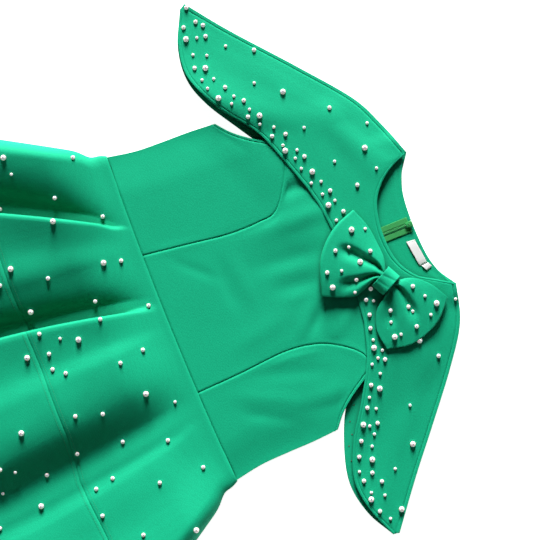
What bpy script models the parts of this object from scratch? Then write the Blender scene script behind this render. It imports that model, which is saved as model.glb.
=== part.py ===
# Cocktail dress of thick green double knit, laid flat on its back with the front up.
# Fitted bodice with princess seams and a centre back zip, a two layer cape collar that ends
# in pointed sleeves, a bow beside the front neck, and a fluted skirt in two tiers.
# Tables are in millimetres, measured from the middle of the waist seam:
# x to the wearer's left, y towards the neck, z up from the surface it lies on.

import math

import bmesh
import bpy
import numpy as np

MM = 0.001
GARMENT = "cocktail_dress"

# Driving sizes
wall = 1.8
seam_gap = 0.3
layer = wall + seam_gap
trim_wall = 1.0
air_in_bodice = 3.5
skirt_drop = 470.0
tier_drop = 190.0
hem_half_width = 479.0
hem_side_rise = 69.0
waist_half_width = 244.0
waist_sag = 6.0
neck_point_y = 392.0
middle_y = (neck_point_y - skirt_drop - waist_sag) / 2

# Bodice outlines
bodice_side = (
    # x, y from the waist to the armpit
    (244, 0), (237, 40), (235, 80), (234, 120), (231, 158),
)
armhole = (
    # x, y from the armpit to the end of the princess seam
    (231, 158), (212, 174), (196, 193), (183, 213), (167, 240),
)
armhole_top = (
    # x, y from the princess seam to the shoulder
    (167, 240), (159, 270), (158, 305), (166, 338),
)
princess_left = ((-97, -5), (-88, 60), (-80, 118), (-80, 165), (-86, 192), (-120, 217), (-167, 240))
princess_right = ((110, -5), (107, 60), (102, 130), (108, 173), (121, 202), (142, 228), (167, 240))
neck_front = (
    (-92, 386), (-85, 366), (-68, 344), (-42, 326), (-2, 318), (40, 322), (70, 339), (88, 365), (100, 383),
)
neck_back = ((-92, 386), (-68, 375), (-40, 366), (2, 363), (48, 365), (76, 372), (100, 383))

# Cape outlines
cape_shoulder_left = ((-403, 181), (-345, 225), (-262, 295), (-193, 350), (-146, 373), (-93, 392))
cape_shoulder_right = ((102, 388), (155, 373), (210, 336), (273, 285), (333, 235), (398, 184))
cape_hem_left = ((-398, 172), (-352, 152), (-305, 147), (-251, 170), (-200, 207), (-154, 226), (-100, 244))
cape_hem_middle = ((-100, 244), (-60, 252), (0, 256), (60, 253), (105, 248))
cape_hem_right = ((105, 248), (155, 232), (206, 203), (256, 171), (306, 153), (352, 158), (396, 175))
cape_neck_front = (
    (-93, 392), (-85, 368), (-68, 344), (-42, 326), (-2, 318), (40, 322), (70, 339), (88, 365), (102, 388),
)
cape_neck_back = ((-93, 392), (-68, 375), (-40, 366), (2, 363), (48, 365), (76, 372), (102, 388))
back_hem_left = ((-399, 173), (-352, 150), (-305, 144), (-262, 157), (-210, 188), (-154, 222), (-100, 242))
back_hem_right = ((105, 242), (155, 222), (200, 184), (251, 159), (306, 145), (355, 153), (397, 175))
back_hem_middle = ((-100, 242), (-60, 248), (0, 251), (60, 248), (105, 242))
lift_ramp = 40.0
lift_start = 1.2
sleeve_air_left = 9.5
sleeve_air_right = 3.0
sleeve_air_start = 190.0
sleeve_air_run = 60.0
sleeve_tip = 395.0
sleeve_tip_run = 90.0
sleeve_fold_run = 60.0
cape_over_armhole = 46.0
cape_slope_run = 34.0
cape_clear = 0.7
cape_top_y = 300.0
cape_top_half_width = 150.0
cape_neck_half_width = 135.0
cape_neck_run = 25.0
cape_edge_run = 16.0
cape_places = (0, 0.12, 0.3, 0.5, 0.66, 0.78, 0.87, 0.94, 1)

# Shoulder seam, and where the two halves of the back meet along the zip
shoulder_points = ((92, 386), (166, 338))
shoulder_seam_left = ((-166, 338), (-92, 386))
shoulder_seam_right = ((100, 383), (166, 338))
back_neck_y = 363.0
back_hem_y = 251.0
back_split_clear = 3.0

# The bodice front lies closer to the back along the side, armpit and shoulder seams
side_seam_run = 30.0
armpit_y = 150.0
armpit_run = 40.0
shoulder_run = 34.0

# Points along the edges of the panels
seam_rows = 13
armhole_rows = 9
side_columns = 7
neck_columns = 11
back_columns = 13
shoulder_columns = 15
back_shoulder_columns = 12
seam_columns = 4

# Skirt folds from the wearer's right side to the left. x at the waist, the tier seam and the hem,
# how high the fold stands at the tier seam and at the hem, how far its steep side tucks under it,
# and how many columns of faces lead up to it
fold_table = (
    # name, waist x, tier x, hem x, tier rise, hem rise, tuck, columns
    ("side_right_edge", -244, -343, -479, 0, 0, 0, 0),
    ("side_right_roll", -222, -314, -444, 17, 27, 0, 4),
    ("valley_1", -150, -280, -395, 1, 1, 0, 5),
    ("ridge_1", -133, -232, -345, 31, 42, 8, 5),
    ("crease_1", -116, -170, -262, 20, 27, 0, 4),
    ("shelf_1", -98, -128, -180, 16, 21, 0, 2),
    ("valley_2", -66, -96, -112, 1, 1, 0, 4),
    ("ridge_2", -28, -61, -72, 32, 42, 8, 5),
    ("crease_2", -2, -30, -24, 25, 33, 0, 3),
    ("hump_2", 18, 3, 18, 27, 37, 0, 3),
    ("slope_2", 64, 60, 74, 18, 26, 0, 3),
    ("valley_3", 104, 116, 130, 1, 1, 0, 4),
    ("ridge_3", 121, 156, 168, 19, 24, 0, 4),
    ("crease_3", 127, 177, 190, 12, 15, 0, 2),
    ("ridge_4", 136, 186, 203, 24, 32, 4, 4),
    ("dip_4", 178, 270, 356, 16, 17, 0, 5),
    ("side_left_roll", 218, 320, 440, 21, 30, 0, 4),
    ("side_left_edge", 244, 352, 479, 0, 0, 0, 5),
)
tier_line = (
    (-343, -168), (-236, -184), (-100, -192), (0, -192), (90, -194), (165, -204), (258, -196), (352, -172),
)
# The side edges come in a little just below the waist seam before they flare
pinch = 6.0
pinch_drop = 26.0
pinch_reach = 13.0
upper_rows = (0, 12, 28, 50, 78, 110, 145, 175, 190)
lower_rows = (190, 205, 235, 275, 320, 368, 415, 455, 470)
fold_start = 115.0
early_share = 0.75
back_upper_columns = 11
back_lower_columns = 21
# A tucked fold has a broad floor and a steep wall: its columns crowd up to the ridge
undercut = 0.45

# Bow, in its own axes: along the bow and across it, from the middle of the knot
bow_middle = (62, 297)
bow_tilt = math.radians(27)
bow_clear = 15.4
loop_left = {
    "knot": ((-7, -9), (-7, 10)),
    "lower": ((-7, -9), (-12.5, -13), (-14, -30), (-18, -45), (-33, -60), (-51, -74)),
    "end": ((-51, -74), (-84, -36), (-98, 5), (-97, 45)),
    "upper": ((-7, 10), (-13, 14), (-24, 23), (-41, 31), (-68, 41), (-97, 45)),
}
loop_right = {
    "knot": ((8, -10), (8, 10)),
    "lower": ((8, -10), (12.5, -13), (14.5, -28), (20, -43), (38, -61), (63, -70)),
    "end": ((63, -70), (85, -40), (91, 2), (79, 40)),
    "upper": ((8, 10), (13, 13.5), (26, 28), (50, 38), (79, 40)),
}
loop_places = (0, 0.06, 0.14, 0.26, 0.4, 0.55, 0.7, 0.85, 1)
loop_creases = {
    # place across the loop at the knot and at its end (-1 to 1), depth, width, how far it runs (0 to 1)
    "left": ((0.5, 0.1, 8, 0.2, 0.8), (-0.1, -0.9, 6, 0.22, 0.7)),
    "right": ((-0.3, -0.65, 6, 0.22, 0.6), (0.35, 0.0, 6, 0.2, 0.7)),
}
knot_width = 21.0
knot_half_height = 16.0
knot_depth_over = 11.0
knot_depth_under = 5.0
knot_drop = 1.0
loop_rise = 21.0
loop_edge_rise = 8.5
loop_end_rise = 7.0
loop_knot_rise = 9.0
loop_puff = 0.62
loop_puff_lean = 0.8
loop_side_roundness = 3
loop_least_air = 1.5
crease_fade_in = 0.15
crease_fade_out = 0.25
loop_columns = 11
loop_end_angles = (45, 90, 135)
knot_columns = 24
knot_rings = 4
knot_roundness_over = 0.8
knot_roundness_under = 0.5
ring_join = 0.1

# Zip, label and size tab on the inside of the back
zip_top = 358.0
zip_bottom = -118.0
zip_middle = 1.5
zip_tape_width = 8.0
zip_coil_width = 5.0
zip_coil_height = 1.8
slider_size = (9, 10, 3)
slider_y = 357.5
coil_top = 352.0
slider_bevel = 0.9
slider_bevel_steps = 2
# The back climbs onto the cape between these heights, so the strips have more rows there
climb_rows = (210, 220, 262, 275)
flat_row_count = 6
climb_row_count = 9
top_row_count = 4
label_columns = 5
label_corners = ((23, 345), (61, 350), (60, 361.5), (24, 357))
tab_corners = ((61.9, 352.5), (71, 357), (67.5, 366), (60.9, 362.8))

cloth_green = (0.012, 0.460, 0.235)
zip_green = (0.045, 0.400, 0.110)
label_white = (0.85, 0.85, 0.83)
cloth_roughness = 0.85
tape_roughness = 0.6
coil_roughness = 0.4
slider_roughness = 0.35
label_roughness = 0.7


def ease(t):
    t = min(max(t, 0.0), 1.0)
    return t * t * (3 - 2 * t)


def blend(a, b, t):
    return a + (b - a) * t


def along(table, x):
    """Height of a line through the table's (x, y) rows, with its corners partly rounded."""
    rounding = 0.4
    points = sorted(table)
    if x <= points[0][0]:
        return points[0][1]
    for (x0, y0), (x1, y1) in zip(points, points[1:]):
        if x <= x1:
            t = (x - x0) / (x1 - x0)
            return blend(y0, y1, blend(t, ease(t), rounding))
    return points[-1][1]


def mirrored(points):
    return tuple((-x, y) for x, y in points)


def waist_line(x):
    return -waist_sag * (1 - (x / waist_half_width) ** 2)


def curve(points, count, places=None, steps=24):
    """Points along a smooth curve through the given ones, spaced evenly or at shares of its length."""
    p = [np.array(q, float) for q in points]
    p = [2 * p[0] - p[1]] + p + [2 * p[-1] - p[-2]]
    fine = []
    for a, b, c, d in zip(p, p[1:], p[2:], p[3:]):
        for k in range(steps):
            t = k / steps
            fine.append(0.5 * (2 * b + (c - a) * t + (2 * a - 5 * b + 4 * c - d) * t ** 2
                               + (3 * b - a - 3 * c + d) * t ** 3))
    fine.append(p[-2])
    fine = np.array(fine)
    length = np.concatenate(([0], np.cumsum(np.linalg.norm(np.diff(fine, axis=0), axis=1))))
    stops = length[-1] * np.array(places or np.linspace(0, 1, count))
    return np.column_stack([np.interp(stops, length, fine[:, k]) for k in (0, 1)])


def joined(*runs):
    """One run of points from several that meet end to end."""
    out = [runs[0]]
    for run in runs[1:]:
        out.append(run[1:])
    return np.concatenate(out)


def moved_aside(points, distance):
    """The same run of points, moved square to its own direction."""
    direction = np.gradient(points, axis=0)
    direction /= np.linalg.norm(direction, axis=1)[:, None]
    return points + distance * np.column_stack([direction[:, 1], -direction[:, 0]])


def patch(bottom, top, left, right):
    """Rows of points that fill the space between four edges (a Coons patch)."""
    rows = []
    for j in range(len(left)):
        t = j / (len(left) - 1)
        row = []
        for i in range(len(bottom)):
            s = i / (len(bottom) - 1)
            ruled = blend(bottom[i], top[i], t) + blend(left[j], right[j], s)
            corners = blend(blend(bottom[0], bottom[-1], s), blend(top[0], top[-1], s), t)
            row.append(ruled - corners)
        rows.append(row)
    return rows


def loft(first, last, places):
    """Rows of points on straight lines from one edge to the other."""
    return [[blend(a, b, t) for a, b in zip(first, last)] for t in places]


def lay(rows, height):
    """Give every point of a flat grid its height."""
    return [[(x, y, height(x, y)) for x, y in row] for row in rows]


# Heights of the underside of each layer

def back_cape_hem(x):
    return along(back_hem_left + back_hem_middle[1:-1] + back_hem_right, x)


def back_height(x, y):
    """The bodice back lies on the floor and climbs onto the back of the cape."""
    return layer * ease((y - back_cape_hem(x)) / lift_ramp + lift_start)


def bodice_half_width(y):
    return float(np.interp(y, [p[1] for p in bodice_side], [p[0] for p in bodice_side]))


def shoulder_line(x):
    return float(np.interp(abs(x), [p[0] for p in shoulder_points], [p[1] for p in shoulder_points]))


def air(x, y):
    """The front stands off the back, but for the side and shoulder seams."""
    side = max(ease((bodice_half_width(y) - abs(x)) / side_seam_run), ease((y - armpit_y) / armpit_run))
    shoulder = ease((shoulder_line(x) - y) / shoulder_run)
    return air_in_bodice * min(side, shoulder)


def front_height(x, y):
    return back_height(x, y) + layer + air(x, y)


def armhole_reach(y):
    rows = (armhole + armhole_top)[::-1]
    return float(np.interp(-y, [-p[1] for p in rows], [p[0] for p in rows]))


def cape_height(x, y, fold_distance):
    """The cape front lies on the bodice, and beside it on the cape back with air in the sleeve."""
    over_bodice = ease((armhole_reach(y) + cape_over_armhole - abs(x)) / cape_slope_run)
    if y > cape_top_y and abs(x) < cape_top_half_width:
        over_bodice = 1.0
    chest = front_height(x, y) + layer + cape_clear
    sleeve_air = sleeve_air_right
    if x < 0:
        from_body = ease((-x - sleeve_air_start) / sleeve_air_run)
        from_tip = ease((sleeve_tip + x) / sleeve_tip_run)
        sleeve_air = sleeve_air_left * from_body * from_tip
    sleeve = layer + sleeve_air * ease(fold_distance / sleeve_fold_run)
    inner = blend(sleeve, chest, over_bodice)
    near_neck = ease((cape_neck_half_width - abs(x)) / cape_neck_run)
    edge = blend(layer, 3 * layer + cape_clear, near_neck)
    return blend(edge, inner, ease(fold_distance / cape_edge_run))


# Meshes

def make_object(name, mesh, colour, roughness, collection):
    material = bpy.data.materials.new(name)
    material.use_nodes = True
    shader = material.node_tree.nodes["Principled BSDF"]
    shader.inputs["Base Color"].default_value = (*colour, 1)
    shader.inputs["Roughness"].default_value = roughness
    shader.inputs["Metallic"].default_value = 0.0
    mesh.materials.append(material)
    obj = bpy.data.objects.new(name, mesh)
    collection.objects.link(obj)
    return obj


def sheet_mesh(name, rows):
    """An open surface through rows of points, faces up."""
    mesh = bpy.data.meshes.new(name)
    bm = bmesh.new()
    grid = [[bm.verts.new((x * MM, (y - middle_y) * MM, z * MM)) for x, y, z in row] for row in rows]
    for low, high in zip(grid, grid[1:]):
        for a, b, c, d in zip(low, low[1:], high[1:], high):
            bm.faces.new((a, b, c, d))
    bm.to_mesh(mesh)
    bm.free()
    mesh.shade_smooth()
    return mesh


def cloth(name, rows, collection, thickness=wall, colour=cloth_green, roughness=cloth_roughness):
    """A wall of cloth whose underside goes through rows of points."""
    obj = make_object(name, sheet_mesh(name, rows), colour, roughness, collection)
    shell = obj.modifiers.new("wall", "SOLIDIFY")
    shell.thickness = thickness * MM
    shell.offset = 1.0
    return obj


def half_of(outline, sign, edge_x, edge_y):
    """The points of one half of a back edge, from the outside to the zip."""
    points = [p for p in curve(outline, back_columns) if sign * (p[0] - zip_middle) > back_split_clear]
    return np.array(points[::-sign] + [np.array((edge_x, edge_y))])


def build_bodice(collection):
    seams = {"left": curve(princess_left, seam_rows), "right": curve(princess_right, seam_rows)}
    sides = {
        "left": curve(mirrored(bodice_side), seam_rows),
        "right": curve(bodice_side, seam_rows),
    }
    upper = {"left": curve(mirrored(armhole_top), armhole_rows), "right": curve(armhole_top, armhole_rows)}
    lower = {"left": curve(mirrored(armhole), side_columns), "right": curve(armhole, side_columns)}

    def waist_between(a, b, count):
        xs = np.linspace(a, b, count)
        return np.column_stack([xs, waist_line(xs)])

    top = joined(
        curve(shoulder_seam_left, seam_columns),
        curve(neck_front, neck_columns),
        curve(shoulder_seam_right, seam_columns),
    )
    # A level line between the armholes halves the panel. The seams swing out to it so sharply
    # that rows drawn over the whole height would cross each other
    chest_line = np.linspace(princess_left[-1], princess_right[-1], len(top))
    waist = waist_between(princess_left[0][0], princess_right[0][0], len(top))
    below = patch(waist, chest_line, seams["left"], seams["right"])
    above = patch(chest_line, top, upper["left"], upper["right"])
    cloth("bodice_front_centre", lay(below + above[1:], front_height), collection)

    for side, sign in (("left", -1), ("right", 1)):
        inner = moved_aside(seams[side], sign * seam_gap)
        bottom = waist_between(sign * waist_half_width, inner[0][0], side_columns)
        edge = lower[side]
        edge[-1] = inner[-1]
        rows = patch(bottom, edge, sides[side], inner)
        if sign > 0:
            rows = [row[::-1] for row in rows]
        cloth("bodice_front_side_" + side, lay(rows, front_height), collection)

    for side, sign in (("left", -1), ("right", 1)):
        outer = joined(sides[side], lower[side], upper[side])
        inner_x = zip_middle + sign * seam_gap / 2
        neck = half_of(neck_back, sign, inner_x, back_neck_y)
        edge_top = joined(curve((upper[side][-1], neck[0]), seam_columns), neck)
        inner_y = np.linspace(-waist_sag, back_neck_y, len(outer))
        inner = np.column_stack([np.full(len(outer), inner_x), inner_y])
        bottom = waist_between(outer[0][0], inner_x, len(edge_top))
        inner[0] = bottom[-1]
        rows = patch(bottom, edge_top, outer, inner)
        if sign > 0:
            rows = [row[::-1] for row in rows]
        cloth("bodice_back_" + side, lay(rows, back_height), collection)


def build_cape(collection):
    top = joined(
        curve(cape_shoulder_left, shoulder_columns),
        curve(cape_neck_front, back_columns),
        curve(cape_shoulder_right, shoulder_columns),
    )
    hem = joined(
        curve(cape_hem_left, shoulder_columns),
        curve(cape_hem_middle, back_columns),
        curve(cape_hem_right, shoulder_columns),
    )
    rows = []
    for t, row in zip(cape_places, loft(hem, top, cape_places)):
        heights = []
        for k, (x, y) in enumerate(row):
            on_shoulder = k < shoulder_columns or k >= shoulder_columns + back_columns - 2
            distance = (1 - t) * np.linalg.norm(top[k] - hem[k]) if on_shoulder else math.inf
            heights.append((x, y, cape_height(x, y, distance)))
        rows.append(heights)
    cloth("cape_front", rows, collection)

    for side, sign, shoulder, outer_hem in (
        ("left", -1, cape_shoulder_left, back_hem_left),
        ("right", 1, cape_shoulder_right[::-1], back_hem_right[::-1]),
    ):
        edge_x = zip_middle + sign * seam_gap / 2
        neck = half_of(cape_neck_back, sign, edge_x, back_neck_y)
        low = half_of(back_hem_middle, sign, edge_x, back_hem_y)
        top_edge = joined(curve(shoulder, back_shoulder_columns), neck)
        hem_edge = joined(curve(outer_hem, back_shoulder_columns), low)
        rows = loft(hem_edge, top_edge, (0, 0.5, 1))
        if sign > 0:
            rows = [row[::-1] for row in rows]
        cloth("cape_back_" + side, lay(rows, lambda x, y: 0.0), collection)


def fold_x(fold, drop):
    """Where a fold runs at a distance below the waist: a parabola through its three places."""
    waist_x, tier_x, hem_x = fold[1:4]
    a = drop / tier_drop
    b = drop / skirt_drop
    ratio = tier_drop / skirt_drop
    x = (waist_x * (1 - a) * (1 - b)
         + tier_x * a * (1 - b) / (1 - ratio)
         + hem_x * b * (a - 1) / (1 / ratio - 1))
    pinched = pinch * math.exp(-((drop - pinch_drop) / pinch_reach) ** 2)
    return x * (1 - pinched / waist_half_width)


def fold_rise(fold, drop):
    """How high a fold stands over the back: it starts from the flat waist."""
    tier_rise, hem_rise = fold[4:6]
    start = air_in_bodice if tier_rise else 0.0
    if drop < tier_drop:
        grown = blend(ease(drop / tier_drop), ease(drop / fold_start), early_share)
        return blend(start, tier_rise, grown)
    return blend(tier_rise, hem_rise, (drop - tier_drop) / (skirt_drop - tier_drop))


def row_y(waist_x, tier_x, hem_x, drop):
    waist_y = waist_line(waist_x)
    tier_y = along(tier_line, tier_x)
    hem_y = -skirt_drop - waist_sag + hem_side_rise * (hem_x / hem_half_width) ** 2
    if drop < tier_drop:
        return blend(waist_y, tier_y, drop / tier_drop)
    return blend(tier_y, hem_y, (drop - tier_drop) / (skirt_drop - tier_drop))


def skirt_row(drop, trim=0.0):
    """One line of points across the fluted front, side edge to side edge."""
    points = []
    for before, after in zip(fold_table, fold_table[1:]):
        columns = after[7]
        first = 0 if before is fold_table[0] else 1
        tuck = after[6] * ease(drop / fold_start)
        gather = undercut if tuck else 1.0
        for k in range(first, columns + 1):
            s = k / columns
            places = [blend(before[n], after[n], s ** gather) for n in (1, 2, 3)]
            x = blend(fold_x(before, drop), fold_x(after, drop), s ** gather) + tuck * math.sin(math.pi * s)
            lift = (1 - math.cos(math.pi * s)) / 2
            z = layer + blend(fold_rise(before, drop), fold_rise(after, drop), lift)
            points.append((x, row_y(*places, drop) + trim, z))
    return points


def build_skirt(collection):
    half = seam_gap / 2
    upper = [skirt_row(drop) for drop in reversed(upper_rows)]
    upper[0] = skirt_row(tier_drop, half)
    upper[-1] = skirt_row(0, -seam_gap)
    cloth("skirt_front_upper", upper, collection)
    lower = [skirt_row(drop) for drop in reversed(lower_rows)]
    lower[-1] = skirt_row(tier_drop, -half)
    cloth("skirt_front_lower", lower, collection)

    first, last = fold_table[0], fold_table[-1]

    def flat_row(drop, trim, start, end, count):
        """One flat line of points across the back, between two shares of its width."""
        row = []
        for s in np.linspace(start, end, count):
            places = [blend(first[n], last[n], s) for n in (1, 2, 3)]
            x = blend(fold_x(first, drop), fold_x(last, drop), s)
            row.append((x, row_y(*places, drop) + trim, 0.0))
        return row

    middle_share = 0.5
    split = seam_gap / (4 * waist_half_width)
    for side, start, end in (("left", 0, middle_share - split), ("right", middle_share + split, 1)):
        rows = [
            flat_row(tier_drop, half, start, end, back_upper_columns),
            flat_row(tier_drop / 2, 0, start, end, back_upper_columns),
            flat_row(0, -seam_gap, start, end, back_upper_columns),
        ]
        cloth("skirt_back_upper_" + side, rows, collection)
    rows = [
        flat_row(skirt_drop, 0, 0, 1, back_lower_columns),
        flat_row((tier_drop + skirt_drop) / 2, 0, 0, 1, back_lower_columns),
        flat_row(tier_drop, -half, 0, 1, back_lower_columns),
    ]
    cloth("skirt_back_lower", rows, collection)


def bow_to_garment(point):
    u, v = point
    return (bow_middle[0] + u * math.cos(bow_tilt) - v * math.sin(bow_tilt),
            bow_middle[1] + u * math.sin(bow_tilt) + v * math.cos(bow_tilt))


def build_bow_loop(side, outline, collection):
    """A band folded back on itself: back layer, rounded end, and a puffed front layer."""
    edges = {}
    for key, points in outline.items():
        places = None if key in ("knot", "end") else loop_places
        edges[key] = curve([bow_to_garment(p) for p in points], loop_columns, places)
    flat = patch(edges["knot"], edges["end"], edges["lower"], edges["upper"])

    def front_rise(r, w):
        """Height over the back layer at a share of the way out and across (-1 to 1)."""
        puff = loop_rise * loop_puff * math.sin(math.pi * r ** loop_puff_lean)
        arch = blend(loop_knot_rise, loop_end_rise, r) + puff
        rise = blend(arch, min(loop_edge_rise, arch), abs(w) ** loop_side_roundness)
        for start, end, depth, width, reach in loop_creases[side]:
            centre = blend(start, end, r)
            fade = ease(r / crease_fade_in) * (1 - ease((r - reach) / crease_fade_out))
            rise -= depth * fade * math.exp(-((w - centre) / width) ** 2)
        return max(rise, wall + loop_least_air)

    back = []
    front = []
    for r, row in zip(loop_places, flat):
        back.append([(x, y, bow_clear) for x, y in row])
        sides = np.linspace(-1, 1, loop_columns)
        front.append([(x, y, bow_clear + front_rise(r, w)) for w, (x, y) in zip(sides, row)])
    end_middle = np.mean([p[:2] for p in back[-1]], axis=0)
    knot_middle = np.mean([p[:2] for p in back[0]], axis=0)
    outward = (end_middle - knot_middle) / np.linalg.norm(end_middle - knot_middle)
    turn = []
    for angle in loop_end_angles:
        swing = math.radians(angle)
        row = []
        for low, high in zip(back[-1], front[-1]):
            radius = (high[2] - low[2]) / 2
            row.append((low[0] + outward[0] * radius * math.sin(swing),
                        low[1] + outward[1] * radius * math.sin(swing),
                        low[2] + radius * (1 - math.cos(swing))))
        turn.append(row)
    rows = back + turn + front[::-1]
    obj = cloth("bow_loop_" + side, rows, collection)
    obj.modifiers["wall"].offset = 1.0 if side == "left" else -1.0


def build_bow_knot(collection):
    """The band round the middle: an oval ring, open at both ends for the pinched loops."""
    centre_z = bow_clear - knot_drop + knot_depth_under
    rows = []
    for lengthwise in np.linspace(-knot_width / 2, knot_width / 2, knot_rings):
        row = []
        for k in range(knot_columns + 1):
            angle = 2 * math.pi * k / knot_columns
            over = math.sin(angle) > 0
            depth = knot_depth_over if over else knot_depth_under
            roundness = knot_roundness_over if over else knot_roundness_under
            across = math.copysign(knot_half_height * abs(math.cos(angle)) ** roundness, math.cos(angle))
            lift = math.copysign(depth * abs(math.sin(angle)) ** roundness, math.sin(angle))
            x, y = bow_to_garment((lengthwise, across))
            row.append((x, y, centre_z + lift))
        rows.append(row)
    mesh = cloth("bow_knot", rows, collection).data
    bm = bmesh.new()
    bm.from_mesh(mesh)
    bmesh.ops.remove_doubles(bm, verts=bm.verts, dist=ring_join * MM)
    bm.to_mesh(mesh)
    bm.free()


def build_bow(collection):
    build_bow_loop("left", loop_left, collection)
    build_bow_loop("right", loop_right, collection)
    build_bow_knot(collection)


def build_trim(collection):
    """Zip, label and size tab lie on the inside of the back."""
    def on_back(x, y):
        return back_height(x, y) + layer

    def stops(top):
        flat_end, climb_start, climb_end, top_start = climb_rows
        flat = np.linspace(zip_bottom, flat_end, flat_row_count)
        climb = np.linspace(climb_start, climb_end, climb_row_count)
        return np.concatenate((flat, climb, np.linspace(top_start, top, top_row_count)))

    for side, sign in (("left", -1), ("right", 1)):
        near = zip_middle + sign * (zip_coil_width / 2 + seam_gap)
        far = near + sign * zip_tape_width
        xs = sorted((near, far))
        rows = [[(x, y) for x in xs] for y in stops(zip_top)]
        cloth("zip_tape_" + side, lay(rows, on_back), collection, trim_wall, zip_green, tape_roughness)
    xs = (zip_middle - zip_coil_width / 2, zip_middle, zip_middle + zip_coil_width / 2)
    rows = [[(x, y) for x in xs] for y in stops(coil_top)]
    cloth("zip_coil", lay(rows, on_back), collection, zip_coil_height, zip_green, coil_roughness)
    bpy.ops.mesh.primitive_cube_add(size=1)
    slider = bpy.context.object
    mesh = slider.data
    bpy.data.objects.remove(slider, do_unlink=True)
    slider_z = on_back(zip_middle, slider_y) + trim_wall + seam_gap + slider_size[2] / 2
    centre = (zip_middle, slider_y - middle_y, slider_z)
    for vertex in mesh.vertices:
        vertex.co = [MM * (c + side * size) for c, side, size in zip(centre, vertex.co, slider_size)]
    slider = make_object("zip_slider", mesh, zip_green, slider_roughness, collection)
    rounding = slider.modifiers.new("rounding", "BEVEL")
    rounding.width = slider_bevel * MM
    rounding.segments = slider_bevel_steps
    shares = np.linspace(0, 1, label_columns)
    for name, corners in (("neck_label", label_corners), ("size_tab", tab_corners)):
        a, b, c, d = [np.array(p, float) for p in corners]
        rows = [[blend(blend(a, b, s), blend(d, c, s), t) for s in shares] for t in (0, 0.5, 1)]
        cloth(name, lay(rows, on_back), collection, trim_wall, label_white, label_roughness)


def main():
    for obj in list(bpy.data.objects):
        bpy.data.objects.remove(obj, do_unlink=True)
    collection = bpy.data.collections.new(GARMENT)
    bpy.context.scene.collection.children.link(collection)
    build_bodice(collection)
    build_cape(collection)
    build_skirt(collection)
    build_bow(collection)
    build_trim(collection)


main()
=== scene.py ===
import math
import random

import bmesh
import bpy
import numpy as np
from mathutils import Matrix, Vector, noise
from mathutils.bvhtree import BVHTree


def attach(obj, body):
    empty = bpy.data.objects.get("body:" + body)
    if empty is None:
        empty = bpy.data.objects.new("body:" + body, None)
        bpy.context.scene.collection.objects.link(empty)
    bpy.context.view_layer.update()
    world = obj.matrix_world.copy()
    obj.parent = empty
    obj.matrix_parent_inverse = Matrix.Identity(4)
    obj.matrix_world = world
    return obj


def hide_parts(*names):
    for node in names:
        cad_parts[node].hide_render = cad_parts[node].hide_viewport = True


# A green double knit cocktail dress laid flat on its back, seen from above.
# Tables are in mm from the middle of the waist seam: x to the wearer's left, y to the neck, z up.

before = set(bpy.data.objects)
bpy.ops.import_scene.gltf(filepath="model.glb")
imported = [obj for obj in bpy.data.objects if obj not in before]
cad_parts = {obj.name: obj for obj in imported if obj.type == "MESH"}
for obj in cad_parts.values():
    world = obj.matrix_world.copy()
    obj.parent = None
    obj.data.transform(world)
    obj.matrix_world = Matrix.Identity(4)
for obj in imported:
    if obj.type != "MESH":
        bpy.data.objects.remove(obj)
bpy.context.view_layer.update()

mm = 0.001
dress = {
    "wall": 1.8,
    "seamGap": 0.3,
    "trimWall": 1.0,
    "airInBodice": 3.5,
    "skirtDrop": 470.0,
    "tierDrop": 190.0,
    "hemHalfWidth": 479.0,
    "hemSideRise": 69.0,
    "waistHalfWidth": 244.0,
    "waistSag": 6.0,
    "neckPointY": 392.0,
}
layer = dress["wall"] + dress["seamGap"]
middleY = (dress["neckPointY"] - dress["skirtDrop"] - dress["waistSag"]) / 2


# Small helpers

def ease(t):
    t = min(max(t, 0.0), 1.0)
    return t * t * (3 - 2 * t)


def blend(a, b, t):
    return a + (b - a) * t


def bell(distance, width):
    return np.exp(-(np.asarray(distance) / width) ** 2)


def along(table, x):
    rounding = 0.4    # how much the corners of the line are rounded
    points = sorted(table)
    if x <= points[0][0]:
        return points[0][1]
    for (x0, y0), (x1, y1) in zip(points, points[1:]):
        if x <= x1:
            t = (x - x0) / (x1 - x0)
            return blend(y0, y1, blend(t, ease(t), rounding))
    return points[-1][1]


def mirrored(points):
    return tuple((-x, y) for x, y in points)


def curve(points, places, steps=24):
    # a smooth line through the points, read at shares of its length
    p = [np.array(q, float) for q in points]
    p = [2 * p[0] - p[1]] + p + [2 * p[-1] - p[-2]]
    fine = []
    for a, b, c, d in zip(p, p[1:], p[2:], p[3:]):
        for k in range(steps):
            t = k / steps
            fine.append(0.5 * (2 * b + (c - a) * t + (2 * a - 5 * b + 4 * c - d) * t ** 2
                               + (3 * b - a - 3 * c + d) * t ** 3))
    fine.append(p[-2])
    fine = np.array(fine)
    length = np.concatenate(([0], np.cumsum(np.linalg.norm(np.diff(fine, axis=0), axis=1))))
    stops = length[-1] * np.asarray(places, float)
    return np.column_stack([np.interp(stops, length, fine[:, k]) for k in (0, 1)])


def joined(*runs):
    return np.concatenate([runs[0]] + [run[1:] for run in runs[1:]])


def movedAside(points, distance):
    direction = np.gradient(points, axis=0)
    direction /= np.linalg.norm(direction, axis=1)[:, None]
    return points + distance * np.column_stack([direction[:, 1], -direction[:, 0]])


def lengthShares(points):
    steps = np.linalg.norm(np.diff(points, axis=0), axis=1)
    total = np.concatenate(([0], np.cumsum(steps)))
    return total / total[-1]


def crowded(count, start=0.0, end=0.0):
    # places from 0 to 1 that crowd up to a start or an end where a seam or an edge is rounded
    t = np.linspace(0, 1, count)
    pulled = blend(t, t * t, start)
    return blend(pulled, 1 - (1 - pulled) ** 2, end)


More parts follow.
